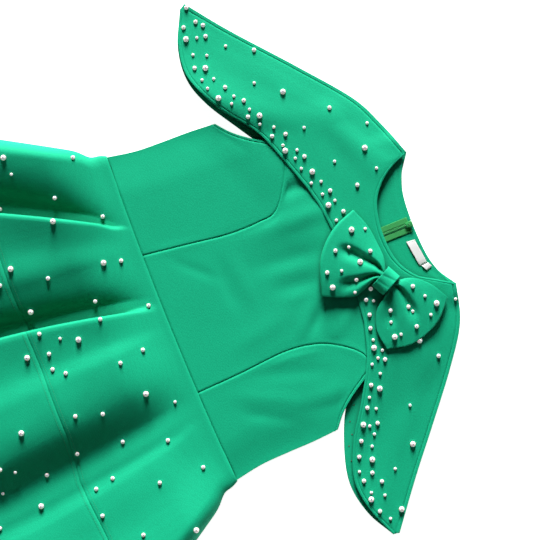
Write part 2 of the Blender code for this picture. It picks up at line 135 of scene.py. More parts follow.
def coonsPatch(bottom, top, left, right):
    s = lengthShares(bottom)[None, :, None]
    t = lengthShares(left)[:, None, None]
    ruled = blend(bottom[None], top[None], t) + blend(left[:, None], right[:, None], s)
    corners = blend(blend(bottom[0], bottom[-1], s), blend(top[0], top[-1], s), t)
    return ruled - corners


def finerEdges(flat):
    # more rows and columns beside the four edges, where seams and bindings need them
    steps = (0.2, 0.4, 0.6, 0.8, 1.3, 1.6, 2.3, 2.6, 3.5)
    for axis, shape in ((0, (-1, 1, 1)), (1, (1, -1, 1))):
        last = flat.shape[axis] - 1
        places = np.array(sorted({*range(last + 1), *steps, *[last - k for k in steps]}), float)
        low = np.minimum(places.astype(int), last - 1)
        share = (places - low).reshape(shape)
        flat = blend(flat.take(low, axis), flat.take(low + 1, axis), share)
    return flat


def edgeDistances(grid):
    # how far each point of a grid lies from its four edges
    across = np.linalg.norm(np.diff(grid[:, :, :2], axis=1), axis=2)
    up = np.linalg.norm(np.diff(grid[:, :, :2], axis=0), axis=2)
    left = np.concatenate([np.zeros((len(grid), 1)), np.cumsum(across, axis=1)], axis=1)
    bottom = np.concatenate([np.zeros((1, grid.shape[1])), np.cumsum(up, axis=0)])
    return {"left": left, "right": left[:, -1:] - left, "bottom": bottom, "top": bottom[-1:] - bottom}


def surfaceArea(grid):
    a, b = grid[1:, 1:] - grid[:-1, :-1], grid[1:, :-1] - grid[:-1, 1:]
    return float(np.linalg.norm(np.cross(a, b), axis=2).sum()) / 2


def runLength(points):
    return float(np.linalg.norm(np.diff(points, axis=0), axis=1).sum())


# Outlines of the pattern pieces, all x, y

outlines = {
    "side": ((244, 0), (237, 40), (235, 80), (234, 120), (231, 158)),
    "armhole": ((231, 158), (212, 174), (196, 193), (183, 213), (167, 240)),
    "armholeTop": ((167, 240), (159, 270), (158, 305), (166, 338)),
    "princessLeft": ((-97, -5), (-88, 60), (-80, 118), (-80, 165), (-86, 192), (-120, 217), (-167, 240)),
    "princessRight": ((110, -5), (107, 60), (102, 130), (108, 173), (121, 202), (142, 228), (167, 240)),
    "neckFront": (
        (-92, 386), (-85, 366), (-68, 344), (-42, 326), (-2, 318),
        (40, 322), (70, 339), (88, 365), (100, 383),
    ),
    "neckBack": ((-92, 386), (-68, 375), (-40, 366), (2, 363), (48, 365), (76, 372), (100, 383)),
    "shoulderLeft": ((-166, 338), (-92, 386)),
    "shoulderRight": ((100, 383), (166, 338)),
    "capeShoulderLeft": ((-403, 181), (-345, 225), (-262, 295), (-193, 350), (-146, 373), (-93, 392)),
    "capeShoulderRight": ((102, 388), (155, 373), (210, 336), (273, 285), (333, 235), (398, 184)),
    "capeHemLeft": (
        (-398, 172), (-352, 152), (-305, 147), (-251, 170), (-200, 207), (-154, 226), (-100, 244),
    ),
    "capeHemMiddle": ((-100, 244), (-60, 252), (0, 256), (60, 253), (105, 248)),
    "capeHemRight": ((105, 248), (155, 232), (206, 203), (256, 171), (306, 153), (352, 158), (396, 175)),
    "capeNeckFront": (
        (-93, 392), (-85, 368), (-68, 344), (-42, 326), (-2, 318),
        (40, 322), (70, 339), (88, 365), (102, 388),
    ),
    "capeNeckBack": ((-93, 392), (-68, 375), (-40, 366), (2, 363), (48, 365), (76, 372), (102, 388)),
    "backHemLeft": (
        (-399, 173), (-352, 150), (-305, 144), (-262, 157), (-210, 188), (-154, 222), (-100, 242),
    ),
    "backHemRight": ((105, 242), (155, 222), (200, 184), (251, 159), (306, 145), (355, 153), (397, 175)),
    "backHemMiddle": ((-100, 242), (-60, 248), (0, 251), (60, 248), (105, 242)),
    "tierLine": (
        (-343, -168), (-236, -184), (-100, -192), (0, -192),
        (90, -194), (165, -204), (258, -196), (352, -172),
    ),
}

lay = {
    # how the layers climb over each other and stand apart
    "liftRamp": 40.0,
    "liftStart": 1.2,
    "sleeveAirLeft": 13.0,
    "sleeveAirRight": 3.0,
    "sleeveAirStart": 120.0,
    "sleeveAirRun": 70.0,
    "sleeveLiftRun": 125.0,
    "sleeveLiftPower": 1.3,
    "softRamp": 60.0,
    "sleeveTip": 395.0,
    "sleeveTipRun": 140.0,
    "sleeveFoldRun": 60.0,
    "capeOverArmhole": {"left": 56.0, "right": 80.0},
    "capeSlopeRun": {"left": 46.0, "right": 90.0},
    "tipLift": 2.0,
    "tipLiftRun": 40.0,
    "capeClear": 0.7,
    "capeTopY": 300.0,
    "capeTopHalfWidth": 170.0,
    "capeTopRun": 40.0,
    "capeNeckHalfWidth": 135.0,
    "capeNeckRun": 25.0,
    "capeEdgeRun": 45.0,
    "capeNeckEdgeRun": 24.0,
    "capeEdgePower": 1.7,
    "sideSeamRun": 60.0,
    "armpitY": 150.0,
    "armpitRun": 40.0,
    "shoulderRun": 34.0,
    "backNeckY": 363.0,
    "backHemY": 251.0,
}


def waistLine(x):
    return -dress["waistSag"] * (1 - (x / dress["waistHalfWidth"]) ** 2)


def backCapeHem(x):
    return along(outlines["backHemLeft"] + outlines["backHemMiddle"][1:-1] + outlines["backHemRight"], x)


def backHeight(x, y):
    return layer * ease((y - backCapeHem(x)) / lay["liftRamp"] + lay["liftStart"])


def bodiceHalfWidth(y):
    side = outlines["side"]
    return float(np.interp(y, [p[1] for p in side], [p[0] for p in side]))


def shoulderLine(x):
    low, high = outlines["shoulderLeft"]
    return float(np.interp(abs(x), (-high[0], -low[0]), (high[1], low[1])))


def airBetween(x, y):
    fromSide = ease((bodiceHalfWidth(y) - abs(x)) / lay["sideSeamRun"])
    side = max(fromSide, ease((y - lay["armpitY"]) / lay["armpitRun"]))
    return dress["airInBodice"] * min(side, ease((shoulderLine(x) - y) / lay["shoulderRun"]))


def frontHeight(x, y):
    # the step over the back cape's hem shows through only as a slow rise
    rise = layer * ease((y - backCapeHem(x)) / lay["softRamp"] + lay["liftStart"])
    return rise + layer + airBetween(x, y)


def armholeReach(y):
    rows = (outlines["armhole"] + outlines["armholeTop"])[::-1]
    return float(np.interp(-y, [-p[1] for p in rows], [p[0] for p in rows]))


def capeHeight(x, y, foldDistance):
    side = "left" if x < 0 else "right"
    overBodice = ease((armholeReach(y) + lay["capeOverArmhole"][side] - abs(x)) / lay["capeSlopeRun"][side])
    if y > lay["capeTopY"]:
        overBodice = max(overBodice, ease((lay["capeTopHalfWidth"] - abs(x)) / lay["capeTopRun"]))
    chest = frontHeight(x, y) + layer + lay["capeClear"]
    sleeveAir, lift = lay["sleeveAirRight"], 0.0
    rise = ease(foldDistance / lay["sleeveFoldRun"])
    if x < 0:
        # the sleeve lies open here, and lifts evenly towards its hem
        rise = min(1.0, foldDistance / lay["sleeveLiftRun"]) ** lay["sleeveLiftPower"]
        fromBody = ease((-x - lay["sleeveAirStart"]) / lay["sleeveAirRun"])
        fromTip = ease((lay["sleeveTip"] + x) / lay["sleeveTipRun"])
        sleeveAir = lay["sleeveAirLeft"] * fromBody * fromTip
        lift = lay["tipLift"] * ease((lay["sleeveTip"] + x) / lay["tipLiftRun"])
    sleeve = layer + lift + sleeveAir * rise
    level = blend(sleeve, chest, overBodice)
    nearNeck = ease((lay["capeNeckHalfWidth"] - abs(x)) / lay["capeNeckRun"])
    edge = blend(layer, 3 * layer + lay["capeClear"], nearNeck)
    # the cloth rises at once from its fold, and levels out
    run = blend(lay["capeEdgeRun"], lay["capeNeckEdgeRun"], nearNeck)
    return blend(edge, level, 1 - (1 - min(1.0, foldDistance / run)) ** lay["capeEdgePower"])


# Materials

def fromHex(code):
    # an sRGB hex colour as the linear colour that the shaders work with
    parts = [int(code[k:k + 2], 16) / 255 for k in (1, 3, 5)]
    linear = [c / 12.92 if c <= 0.04045 else ((c + 0.055) / 1.055) ** 2.4 for c in parts]
    return (*linear, 1.0)


def addNode(tree, kind, settings=None, **links):
    # one node with its settings, and links into its sockets by name
    node = tree.nodes.new(kind)
    for key, value in (settings or {}).items():
        if hasattr(node, key):
            setattr(node, key, value)
        else:
            node.inputs[key].default_value = value
    for key, source in links.items():
        tree.links.new(source, node.inputs[key.replace("_", " ")])
    return node


def newMaterial(name, base, roughness, ior, **more):
    material = bpy.data.materials.new(name)
    material.use_nodes = True
    shader = material.node_tree.nodes["Principled BSDF"]
    shader.inputs["Base Color"].default_value = fromHex(base)
    shader.inputs["Roughness"].default_value = roughness
    shader.inputs["IOR"].default_value = ior
    for key, value in more.items():
        shader.inputs[key.replace("_", " ")].default_value = value
    return material, material.node_tree, shader


def objectPlace(tree):
    return addNode(tree, "ShaderNodeTexCoord").outputs["Object"]


def addNoise(tree, place, scale, detail=2.0):
    settings = {"Scale": scale, "Detail": detail}
    return addNode(tree, "ShaderNodeTexNoise", settings, Vector=place).outputs["Fac"]


def addBands(tree, place, widthMm, distortion=0.0, direction="X"):
    # lines that repeat every so many mm: a wave texture's period is 0.314 over its scale
    settings = {"Scale": 0.314 / (widthMm * mm), "Distortion": distortion, "bands_direction": direction}
    return addNode(tree, "ShaderNodeTexWave", settings, Vector=place).outputs["Fac"]


def addRange(tree, value, start, end):
    # start and end are each a lowest and a highest value
    limits = {"From Min": start[0], "From Max": start[1], "To Min": end[0], "To Max": end[1]}
    return addNode(tree, "ShaderNodeMapRange", limits, Value=value).outputs["Result"]


def addMath(tree, operation, first, second):
    node = addNode(tree, "ShaderNodeMath", {"operation": operation})
    tree.links.new(first, node.inputs[0])
    tree.links.new(second, node.inputs[1])
    return node.outputs[0]


def linkShade(tree, shader, code, factor):
    # the base colour, lighter and darker by a factor
    colour = addNode(tree, "ShaderNodeVectorMath", {"operation": "SCALE"}, Scale=factor)
    colour.inputs[0].default_value = fromHex(code)[:3]
    tree.links.new(colour.outputs[0], shader.inputs["Base Color"])


def linkBump(tree, shader, height, strength, depthMm):
    settings = {"Strength": strength, "Distance": depthMm * mm}
    bump = addNode(tree, "ShaderNodeBump", settings, Height=height)
    tree.links.new(bump.outputs["Normal"], shader.inputs["Normal"])


def glow(shader, code, strength):
    shader.inputs["Emission Color"].default_value = fromHex(code)
    shader.inputs["Emission Strength"].default_value = strength


def makeScubaKnit():
    # polyester double knit, closely knitted and heat set: matte, thick and smooth,
    # with a faint pebble of tiny stitches and a soft sheen where it turns away
    dye = "#0CB887"
    material, tree, shader = newMaterial(
        "scubaKnit", dye, 0.78, 1.46,
        Sheen_Weight=0.10, Sheen_Roughness=0.45, Sheen_Tint=fromHex("#7FF0CB"), Specular_IOR_Level=0.22,
    )
    stitchMm = 2.1    # real stitches are about 0.7 mm, drawn three times as coarse so that they show
    place = objectPlace(tree)
    settings = {"Scale": 1 / (stitchMm * mm), "Randomness": 0.55}
    stitches = addNode(tree, "ShaderNodeTexVoronoi", settings, Vector=place).outputs["Distance"]
    fuzz = addNoise(tree, place, 900.0)
    # the dye takes a touch unevenly, and the dips between the stitches get painted shade
    mottle = addRange(tree, addNoise(tree, place, 26.0, 3.0), (0, 1), (0.955, 1.045))
    stitchDipShade = addRange(tree, stitches, (0, 0.9), (1.06, 0.9))
    # painted shade: an occlusion test darkens the base colour deep between the folds and where parts lie
    # close
    depth = addNode(tree, "ShaderNodeAmbientOcclusion", {"samples": 8, "Distance": 0.07}).outputs["AO"]
    paintedFoldShade = addRange(tree, depth, (0.25, 0.8), (0.3, 1.0))
    dyeAndPaintedShade = addMath(tree, "MULTIPLY", addMath(tree, "MULTIPLY", mottle, stitchDipShade), paintedFoldShade)
    linkShade(tree, shader, dye, dyeAndPaintedShade)
    linkBump(tree, shader, addMath(tree, "ADD", stitches, fuzz), 0.4, 0.35)
    return material


def makeZipTape():
    # woven polyester twill tape: fine slanting ribs, a yellower green than the knit
    dye = "#3DAA5B"
    material, tree, shader = newMaterial("zipTapeTwill", dye, 0.7, 1.5, Specular_IOR_Level=0.3)
    ribMm = 1.0    # real ribs are 0.5 mm, drawn twice as coarse so that they show
    slant = {"Rotation": (0, 0, math.radians(58))}
    turned = addNode(tree, "ShaderNodeMapping", slant, Vector=objectPlace(tree)).outputs[0]
    ribs = addBands(tree, turned, ribMm, 0.6)
    linkShade(tree, shader, dye, addRange(tree, ribs, (0, 1), (0.82, 1.08)))
    linkBump(tree, shader, ribs, 0.5, 0.2)
    return material


def makeNylonCoil():
    # nylon monofilament wound into a coil: smooth and slightly shiny, with a little depth
    material, tree, shader = newMaterial("nylonCoil", "#3BA25A", 0.34, 1.53, Coat_Weight=0.15)
    linkBump(tree, shader, addNoise(tree, objectPlace(tree), 700.0), 0.15, 0.1)
    return material


def makeSliderEnamel():
    # die-cast zinc under baked enamel: glossy, with a faint orange peel
    coat = {"Coat_Weight": 0.4, "Coat_Roughness": 0.15}
    material, tree, shader = newMaterial("sliderEnamel", "#37A559", 0.28, 1.5, **coat)
    linkBump(tree, shader, addNoise(tree, objectPlace(tree), 450.0), 0.1, 0.2)
    return material


def makeLabelSatin():
    # woven polyester satin ribbon: white, smooth, with a fine lengthwise grain that catches light
    material, tree, shader = newMaterial("labelSatin", "#F1F1EF", 0.45, 1.5, Sheen_Weight=0.15)
    threadMm = 0.8    # real threads are 0.2 mm, drawn coarser so that they show
    linkBump(tree, shader, addBands(tree, objectPlace(tree), threadMm, 0.8, "Y"), 0.25, 0.1)
    return material


def makeThread(name, code):
    # spun polyester sewing thread: matte, a little darker than the cloth it sinks into
    material, tree, shader = newMaterial(name, code, 0.75, 1.5, Sheen_Weight=0.1)
    twistMm = 0.7    # twist of the two plies
    linkBump(tree, shader, addBands(tree, objectPlace(tree), twistMm), 0.3, 0.1)
    return material


def makePearl():
    # ABS bead dipped in pearl lacquer: creamy white, a clear skin over a soft glow, part of which is painted
    # light
    material, tree, shader = newMaterial(
        "pearlLacquer", "#F4EFEC", 0.22, 1.53,
        Coat_Weight=0.7, Coat_Roughness=0.08, Subsurface_Weight=0.25, Subsurface_Scale=0.003,
        Sheen_Weight=0.15, Sheen_Tint=fromHex("#F7D9E2"),
    )
    mix = addNode(tree, "ShaderNodeMix", {"data_type": "RGBA"})
    mix.inputs[6].default_value = fromHex("#F8F5F2")
    mix.inputs[7].default_value = fromHex("#EDE0E4")
    tree.links.new(addNoise(tree, objectPlace(tree), 160.0, 1.0), mix.inputs[0])
    tree.links.new(mix.outputs[2], shader.inputs["Base Color"])
    # painted light: the bead glows a little, so that its shaded side reads lighter
    glow(shader, "#F4EFEC", 0.27)
    return material


def makeHoleThreadAndShade():
    # the bead's drilled hole, filled with spun thread: matte and dim; no hole is cut, so its darkness is
    # partly the thread's colour and partly painted shade of the hole
    material, tree, shader = newMaterial("holeThreadAndShade", "#7D6A72", 0.85, 1.5)
    linkBump(tree, shader, addNoise(tree, objectPlace(tree), 1500.0), 0.2, 0.1)
    return material


def makeStudioPaper():
    # seamless white background paper: flat and dead matte, lit so brightly that no shadow shows
    material, tree, shader = newMaterial("studioPaper", "#FBFBFB", 0.95, 1.45, Specular_IOR_Level=0.1)
    linkBump(tree, shader, addNoise(tree, objectPlace(tree), 300.0), 0.03, 0.2)
    glow(shader, "#FFFFFF", 0.95)
    return material


finish = {
    "knit": makeScubaKnit(),
    "tape": makeZipTape(),
    "coil": makeNylonCoil(),
    "slider": makeSliderEnamel(),
    "label": makeLabelSatin(),
    "thread": makeThread("greenThread", "#14986A"),
    "fixing": makeThread("fixingThread", "#5A2B30"),
    "pearl": makePearl(),
    "hole": makeHoleThreadAndShade(),
    "paper": makeStudioPaper(),
}
print("materials made")


# Building pieces

def toWorld(points):
    return (np.asarray(points, float) - (0, middleY, 0)) * mm


def makePiece(name, mesh, material, node=None):
    mesh.materials.append(material)
    piece = bpy.data.objects.new(name, mesh)
    bpy.context.scene.collection.objects.link(piece)
    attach(piece, "root")
    if node:
        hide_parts(node)
    return piece


def gridMesh(name, grid, closedAround=False):
    rows, columns = grid.shape[:2]
    points = toWorld(grid.reshape(-1, 3))
    faces = []
    wrap = columns if closedAround else columns - 1
    for j in range(rows - 1):
        for i in range(wrap):
            k = (i + 1) % columns
            faces.append((j * columns + i, j * columns + k, (j + 1) * columns + k, (j + 1) * columns + i))
    mesh = bpy.data.meshes.new(name)
    mesh.from_pydata([tuple(p) for p in points], [], faces)
    mesh.update()
    mesh.shade_smooth()
    return mesh


clothKinds = {
    # the slot and the thickness of each
    "knit": ("green_knit", dress["wall"]),
    "tape": ("zip_tape", dress["trimWall"]),
    "label": ("label_satin", 0.45),
}
rolledEdge = {"fromAngle": 62.0, "share": 0.32, "segments": 2}    # the share is of the cloth's thickness
leastCut = 0.010    # the zip tapes are narrower than this where they show
cuts = []


def clothPiece(name, node, grid, restsOn, kind="knit", held="laid", offset=1.0, closed=False):
    slot, thickness = clothKinds[kind]
    piece = makePiece(name, gridMesh(name, grid, closed), finish[kind], node)
    shell = piece.modifiers.new("wall", "SOLIDIFY")
    shell.thickness = thickness * mm
    shell.offset = offset
    rolled = piece.modifiers.new("rolledEdge", "BEVEL")
    rolled.limit_method = "ANGLE"
    rolled.angle_limit = math.radians(rolledEdge["fromAngle"])
    rolled.width = rolledEdge["share"] * thickness * mm
    rolled.segments = rolledEdge["segments"]
    rolled.use_clamp_overlap = True
    # the cut size is what the cloth measures along its own surface
    if closed:
        grid = np.concatenate([grid, grid[:, :1]], axis=1)
    width = max(leastCut, max(runLength(row) for row in grid) * mm)
    length = max(leastCut, max(runLength(column) for column in grid.swapaxes(0, 1)) * mm)
    area = min(surfaceArea(grid) * mm * mm, width * length)
    cuts.append((piece, (round(width, 4), round(length, 4)), held, restsOn, area))


def declareCuts():
    for piece, flat, held, restsOn, area in cuts:
        print("cut", piece.name, round(flat[0] / mm), "x", round(flat[1] / mm), "mm")


# Creases that hands and folding leave, as soft troughs (below 0) and ridges.
# Rows are the crease's ends in the 540 x 540 picture, its half width and its height.

creases = {
    "front": (
        # where the side panel's seam turns up to the cape's hem
        ((284, 194), (308, 178), 9, -3.4),
        ((262, 232), (330, 207), 14, 2.4),
        # folds that run in under the bow
        ((246, 244), (325, 232), 14, 0.5),
        ((256, 268), (325, 250), 13, -1.1),
        ((272, 274), (318, 262), 11, 0.6),
        ((276, 291), (318, 279), 11, -0.9),
        ((286, 302), (322, 288), 10, 0.5),
        # faint ones across the front
        ((220, 262), (236, 306), 9, -1.1),
        ((236, 262), (250, 300), 9, 0.8),
        ((176, 262), (216, 278), 7, -0.7),
        ((292, 312), (236, 348), 14, 0.7),
        # below the bow
        ((327, 296), (314, 330), 6, -2.2),
        ((312, 300), (302, 334), 8, 1.4),
        ((350, 312), (334, 338), 9, 1.4),
        ((336, 306), (330, 334), 6, 0.9),
        # on the other side panel
        ((240, 397), (302, 401), 11, 0.9),
        ((302, 401), (355, 386), 10, 0.3),
        ((258, 376), (326, 370), 10, -0.7),
        ((310, 412), (356, 398), 10, -0.7),
        ((246, 414), (292, 420), 8, -0.8),
        ((268, 362), (318, 350), 8, 0.6),
    ),
    "cape": (
        ((228, 74), (262, 96), 18, -0.7),
        ((256, 62), (300, 92), 14, 0.6),
        ((318, 132), (350, 168), 15, -0.8),
        ((346, 140), (380, 176), 12, 0.8),
        ((392, 176), (372, 214), 10, 0.8),
        ((428, 318), (404, 366), 16, -0.7),
        ((420, 392), (398, 452), 18, 0.5),
        ((392, 430), (384, 488), 16, -0.6),
    ),
}
picture = {
    # how the photograph lies on the dress: a place at the waist seam, and mm for each pixel
    "anchor": (172.0, 318.5),
    "scale": 1.4,
    "turn": (0.3734, 0.9277),
}


def fromPicture(px, py):
    across, down = px - picture["anchor"][0], py - picture["anchor"][1]
    c, s = picture["turn"]
    return picture["scale"] * (c * across + s * down), picture["scale"] * (s * across - c * down)


def creaseHeight(grid, table):
    reach = 1.05    # how far a crease runs on past its ends before it fades
    x, y = grid[..., 0], grid[..., 1]
    total = np.zeros(x.shape)
    for start, end, halfWidth, height in table:
        start, end = np.array(fromPicture(*start)), np.array(fromPicture(*end))
        middle, run = (start + end) / 2, end - start
        halfLength = np.linalg.norm(run) / 2
        c, s = run / (2 * halfLength)
        alongIt = (x - middle[0]) * c + (y - middle[1]) * s
        acrossIt = (y - middle[1]) * c - (x - middle[0]) * s
        fade = np.exp(-(np.abs(alongIt) / (reach * halfLength)) ** 3)
        total += height * fade * bell(acrossIt, halfWidth)
    return total


swells = {
    # size and height of the swells, and a seed
    "front": (90, 0.5, 1.0),
    "cape": (110, 0.7, 4.0),
    "skirt": (55, 1.0, 7.0),
}


def unevenness(grid, kind):
    # cloth is never quite flat: a slow, random swell
    size, amount, seed = swells[kind]
    return amount * np.array([
        [noise.noise(Vector((p[0] / size, p[1] / size, seed))) for p in row]
        for row in grid
    ])


def soften(grid, kind, share):
    # creases and swells, kept back where share is small so that neighbours still meet
    grid[..., 2] += (creaseHeight(grid, creases[kind]) + unevenness(grid, kind)) * share


def withHeights(flat, height):
    z = np.array([[height(x, y) for x, y in row] for row in flat])
    return np.dstack([flat, z])


seamLook = {
    # a seam pulls the cloth down beside it, and a facing shows as a fine groove along a free edge
    "pull": 1.4,
    "pullWidth": 1.4,
    "groove": 0.9,
    "grooveWidth": 0.8,
    "freeRoll": 0.5,
    "freeRollWidth": 1.6,
}


def seamPull(distance):
    return -seamLook["pull"] * bell(distance, seamLook["pullWidth"])


def facedEdge(distance, grooveAt):
    roll = -seamLook["freeRoll"] * bell(distance, seamLook["freeRollWidth"])
    return roll - seamLook["groove"] * bell(distance - grooveAt, seamLook["grooveWidth"])


def fadeAtEdges(run, *distances):
    # from 0 at the nearest edge to 1 at the end of the run
    return np.clip(np.minimum.reduce(distances) / run, 0, 1) ** 1.5


# Bodice

bothSides = (("left", -1), ("right", 1))
bodice = {
    "seamCount": 64,
    "armholeCount": 40,
    "armholeTopCount": 22,
    "shoulderCount": 14,
    "neckCount": 44,
    "backHalfCount": 40,
    "crowding": 0.35,        # how far the rows crowd up to a seam
    "creaseFade": 12.0,
    "seamShare": 0.8,        # of a full seam's pull
    "sideFade": 20.0,
    "armholeFade": 2.0,
    "armholeGroove": 4.0,
    "neckGroove": 5.0,
    "backGrooveFrom": 280.0,
    "backGrooveRun": 40.0,
}


def onBothSides(outline, places):
    return {"left": curve(mirrored(outlines[outline]), places), "right": curve(outlines[outline], places)}


def waistBetween(start, end, places):
    xs = blend(start, end, np.asarray(places))
    return np.column_stack([xs, waistLine(xs)])


def buildFrontCentre(seams, upper):
    crowd = bodice["crowding"]
    top = joined(
        curve(outlines["shoulderLeft"], crowded(bodice["shoulderCount"], crowd, 0)),
        curve(outlines["neckFront"], np.linspace(0, 1, bodice["neckCount"])),
        curve(outlines["shoulderRight"], crowded(bodice["shoulderCount"], 0, crowd)),
    )
    start, end = outlines["princessLeft"], outlines["princessRight"]
    shares = lengthShares(top)
    # two halves share a level line between the armholes, because the seams swing out to it sharply
    chestLine = blend(np.array(start[-1], float), np.array(end[-1], float), shares[:, None])
    waist = waistBetween(start[0][0], end[0][0], shares)
    below = coonsPatch(waist, chestLine, seams["left"], seams["right"])
    above = coonsPatch(chestLine, top, upper["left"], upper["right"])
    grid = withHeights(finerEdges(np.concatenate((below, above[1:]))), frontHeight)
    d = edgeDistances(grid)
    soften(grid, "front", fadeAtEdges(bodice["creaseFade"], *d.values()))
    grid[..., 2] += bodice["seamShare"] * sum(seamPull(d[edge]) for edge in ("left", "right", "bottom"))
    clothPiece("bodiceFrontCentre", "bodice_front_centre", grid, ["bodiceBackLeft", "bodiceBackRight"])


def buildFrontSides(seams, sides, lower):
    for side, sign in bothSides:
        inside = movedAside(seams[side], sign * dress["seamGap"])
        edge = lower[side].copy()
        edge[-1] = inside[-1]
        bottom = waistBetween(sign * dress["waistHalfWidth"], inside[0][0], lengthShares(edge))
        # turned round on one side, so that the columns run to +x on both
        flat = finerEdges(coonsPatch(bottom, edge, sides[side], inside)[:, ::-sign])
        grid = withHeights(flat, frontHeight)
        d = edgeDistances(grid)
        soften(grid, "front", fadeAtEdges(bodice["creaseFade"], *d.values()))
        seamSide, outSide = ("right", "left") if sign < 0 else ("left", "right")
        pull = bodice["seamShare"] * (seamPull(d[seamSide]) + seamPull(d["bottom"]))
        grid[..., 2] += pull * np.clip(d[outSide] / bodice["sideFade"], 0, 1)
        meeting = np.clip(d["top"] / bodice["armholeFade"], 0, 1)
        grid[..., 2] += facedEdge(d["top"], bodice["armholeGroove"]) * meeting
        end = side.capitalize()
        clothPiece("bodiceFrontSide" + end, "bodice_front_side_" + side, grid, ["bodiceBack" + end])


def buildBacks(sides, lower, upper):
    places = np.linspace(0, 1, bodice["shoulderCount"])
    for side, sign in bothSides:
        outer = joined(sides[side], lower[side], upper[side])
        edgeX = zipper["middle"] + sign * dress["seamGap"] / 2
        neck = halfOf(outlines["neckBack"], sign, edgeX, lay["backNeckY"])
        edgeTop = joined(curve((upper[side][-1], neck[0]), places), neck)
        insideY = blend(-dress["waistSag"], lay["backNeckY"], lengthShares(outer))
        inside = np.column_stack([np.full(len(outer), edgeX), insideY])
        bottom = waistBetween(outer[0][0], edgeX, lengthShares(edgeTop))
        inside[0] = bottom[-1]
        grid = withHeights(coonsPatch(bottom, edgeTop, outer, inside)[:, ::-sign], backHeight)
        d = edgeDistances(grid)
        shown = np.clip((grid[..., 1] - bodice["backGrooveFrom"]) / bodice["backGrooveRun"], 0, 1)
        grid[..., 2] -= seamLook["groove"] * bell(d["top"] - bodice["neckGroove"], 1.0) * shown
        end = side.capitalize()
        clothPiece("bodiceBack" + end, "bodice_back_" + side, grid, ["capeBack" + end])


def buildBodice():
    both = crowded(bodice["seamCount"], bodice["crowding"], bodice["crowding"])
    armhole = crowded(bodice["armholeCount"], bodice["crowding"], bodice["crowding"])
    seams = {"left": curve(outlines["princessLeft"], both), "right": curve(outlines["princessRight"], both)}
    sides = onBothSides("side", both)
    lower = onBothSides("armhole", armhole)
    upper = onBothSides("armholeTop", np.linspace(0, 1, bodice["armholeTopCount"]))
    buildFrontCentre(seams, upper)
    buildFrontSides(seams, sides, lower)
    buildBacks(sides, lower, upper)


def halfOf(outline, sign, edgeX, edgeY):
    # one half of a line across the back, ending at the zip
    clear = 3.0
    whole = curve(outline, np.linspace(0, 1, bodice["backHalfCount"]))
    points = [p for p in whole if sign * (p[0] - zipper["middle"]) > clear]
    return np.array(points[::-sign] + [np.array((edgeX, edgeY))])


# Cape

cape = {
    "shoulderCount": 78,
    "neckCount": 50,
    "rows": 40,
    "hemGroove": 4.0,
    "shoulderGroove": 6.0,
    "foldDepth": 0.9,
    "foldWidth": 1.1,
    "creaseFade": 16.0,
    "narrowRun": 30.0,    # the fine lines fade where the cape is narrower than this
    "backCount": 50,
    "backRows": 12,
}


def capePlaces(width):
    # places across the cape: close together beside the hem and the fold, where the fine lines are
    fineEdge = np.array((0, 1.0, 2.0, 3.0, 3.5, 4.0, 4.5, 5.2, 6.0, 6.8, 8.0, 10.0))
    edge = fineEdge / max(width, 3 * fineEdge[-1])
    middle = np.linspace(edge[-1], 1 - edge[-1], cape["rows"] - 2 * len(edge) + 2)[1:-1]
    return np.concatenate((edge, middle, 1 - edge[::-1]))


def loftGrid(hem, top):
    columns = []
    for low, high in zip(hem, top):
        places = capePlaces(float(np.linalg.norm(high - low)))
        columns.append(blend(low[None], high[None], places[:, None]))
    return np.stack(columns, axis=1)


def buildCapeFront():
    shoulder = np.linspace(0, 1, cape["shoulderCount"])
    middle = np.linspace(0, 1, cape["neckCount"])
    top = joined(
        curve(outlines["capeShoulderLeft"], shoulder),
        curve(outlines["capeNeckFront"], middle),
        curve(outlines["capeShoulderRight"], shoulder),
    )
    hem = joined(
        curve(outlines["capeHemLeft"], shoulder),
        curve(outlines["capeHemMiddle"], middle),
        curve(outlines["capeHemRight"], shoulder),
    )
    flat = loftGrid(hem, top)
    onShoulder = np.ones(len(top), bool)
    onShoulder[cape["shoulderCount"]:cape["shoulderCount"] + cape["neckCount"] - 2] = False
    fromFold = np.linalg.norm(top[None] - flat, axis=2)
    fromFold[:, ~onShoulder] = math.inf
    z = [[capeHeight(*p, away) for p, away in zip(*row)] for row in zip(flat, fromFold)]
    grid = np.dstack([flat, np.array(z)])
    d = edgeDistances(grid)
    soften(grid, "cape", fadeAtEdges(cape["creaseFade"], d["bottom"], d["top"]))
    wide = np.clip((d["bottom"] + d["top"]) / cape["narrowRun"], 0, 1)
    foldLine = -cape["foldDepth"] * bell(d["top"] - cape["shoulderGroove"], cape["foldWidth"])
    grid[..., 2] += (facedEdge(d["bottom"], cape["hemGroove"]) + foldLine * onShoulder) * wide
    grid[..., 2] += facedEdge(d["top"], bodice["neckGroove"]) * ~onShoulder
    clothPiece("capeFront", "cape_front", grid, ["bodiceFrontCentre", "capeBackLeft", "capeBackRight"])


def buildCapeBacks():
    places = np.linspace(0, 1, cape["backCount"])
    for side, sign in bothSides:
        end = side.capitalize()
        edgeX = zipper["middle"] + sign * dress["seamGap"] / 2
        neck = halfOf(outlines["capeNeckBack"], sign, edgeX, lay["backNeckY"])
        low = halfOf(outlines["backHemMiddle"], sign, edgeX, lay["backHemY"])
        stations = np.linspace(0, 1, min(len(neck), len(low)))
        topEdge = joined(curve(outlines["capeShoulder" + end][::-sign], places), curve(neck, stations))
        hemEdge = joined(curve(outlines["backHem" + end][::-sign], places), curve(low, stations))
        flat = np.stack([blend(hemEdge, topEdge, t) for t in np.linspace(0, 1, cape["backRows"])])
        grid = withHeights(flat[:, ::-sign], lambda x, y: 0.0)
        clothPiece("capeBack" + end, "cape_back_" + side, grid, [])


# Skirt

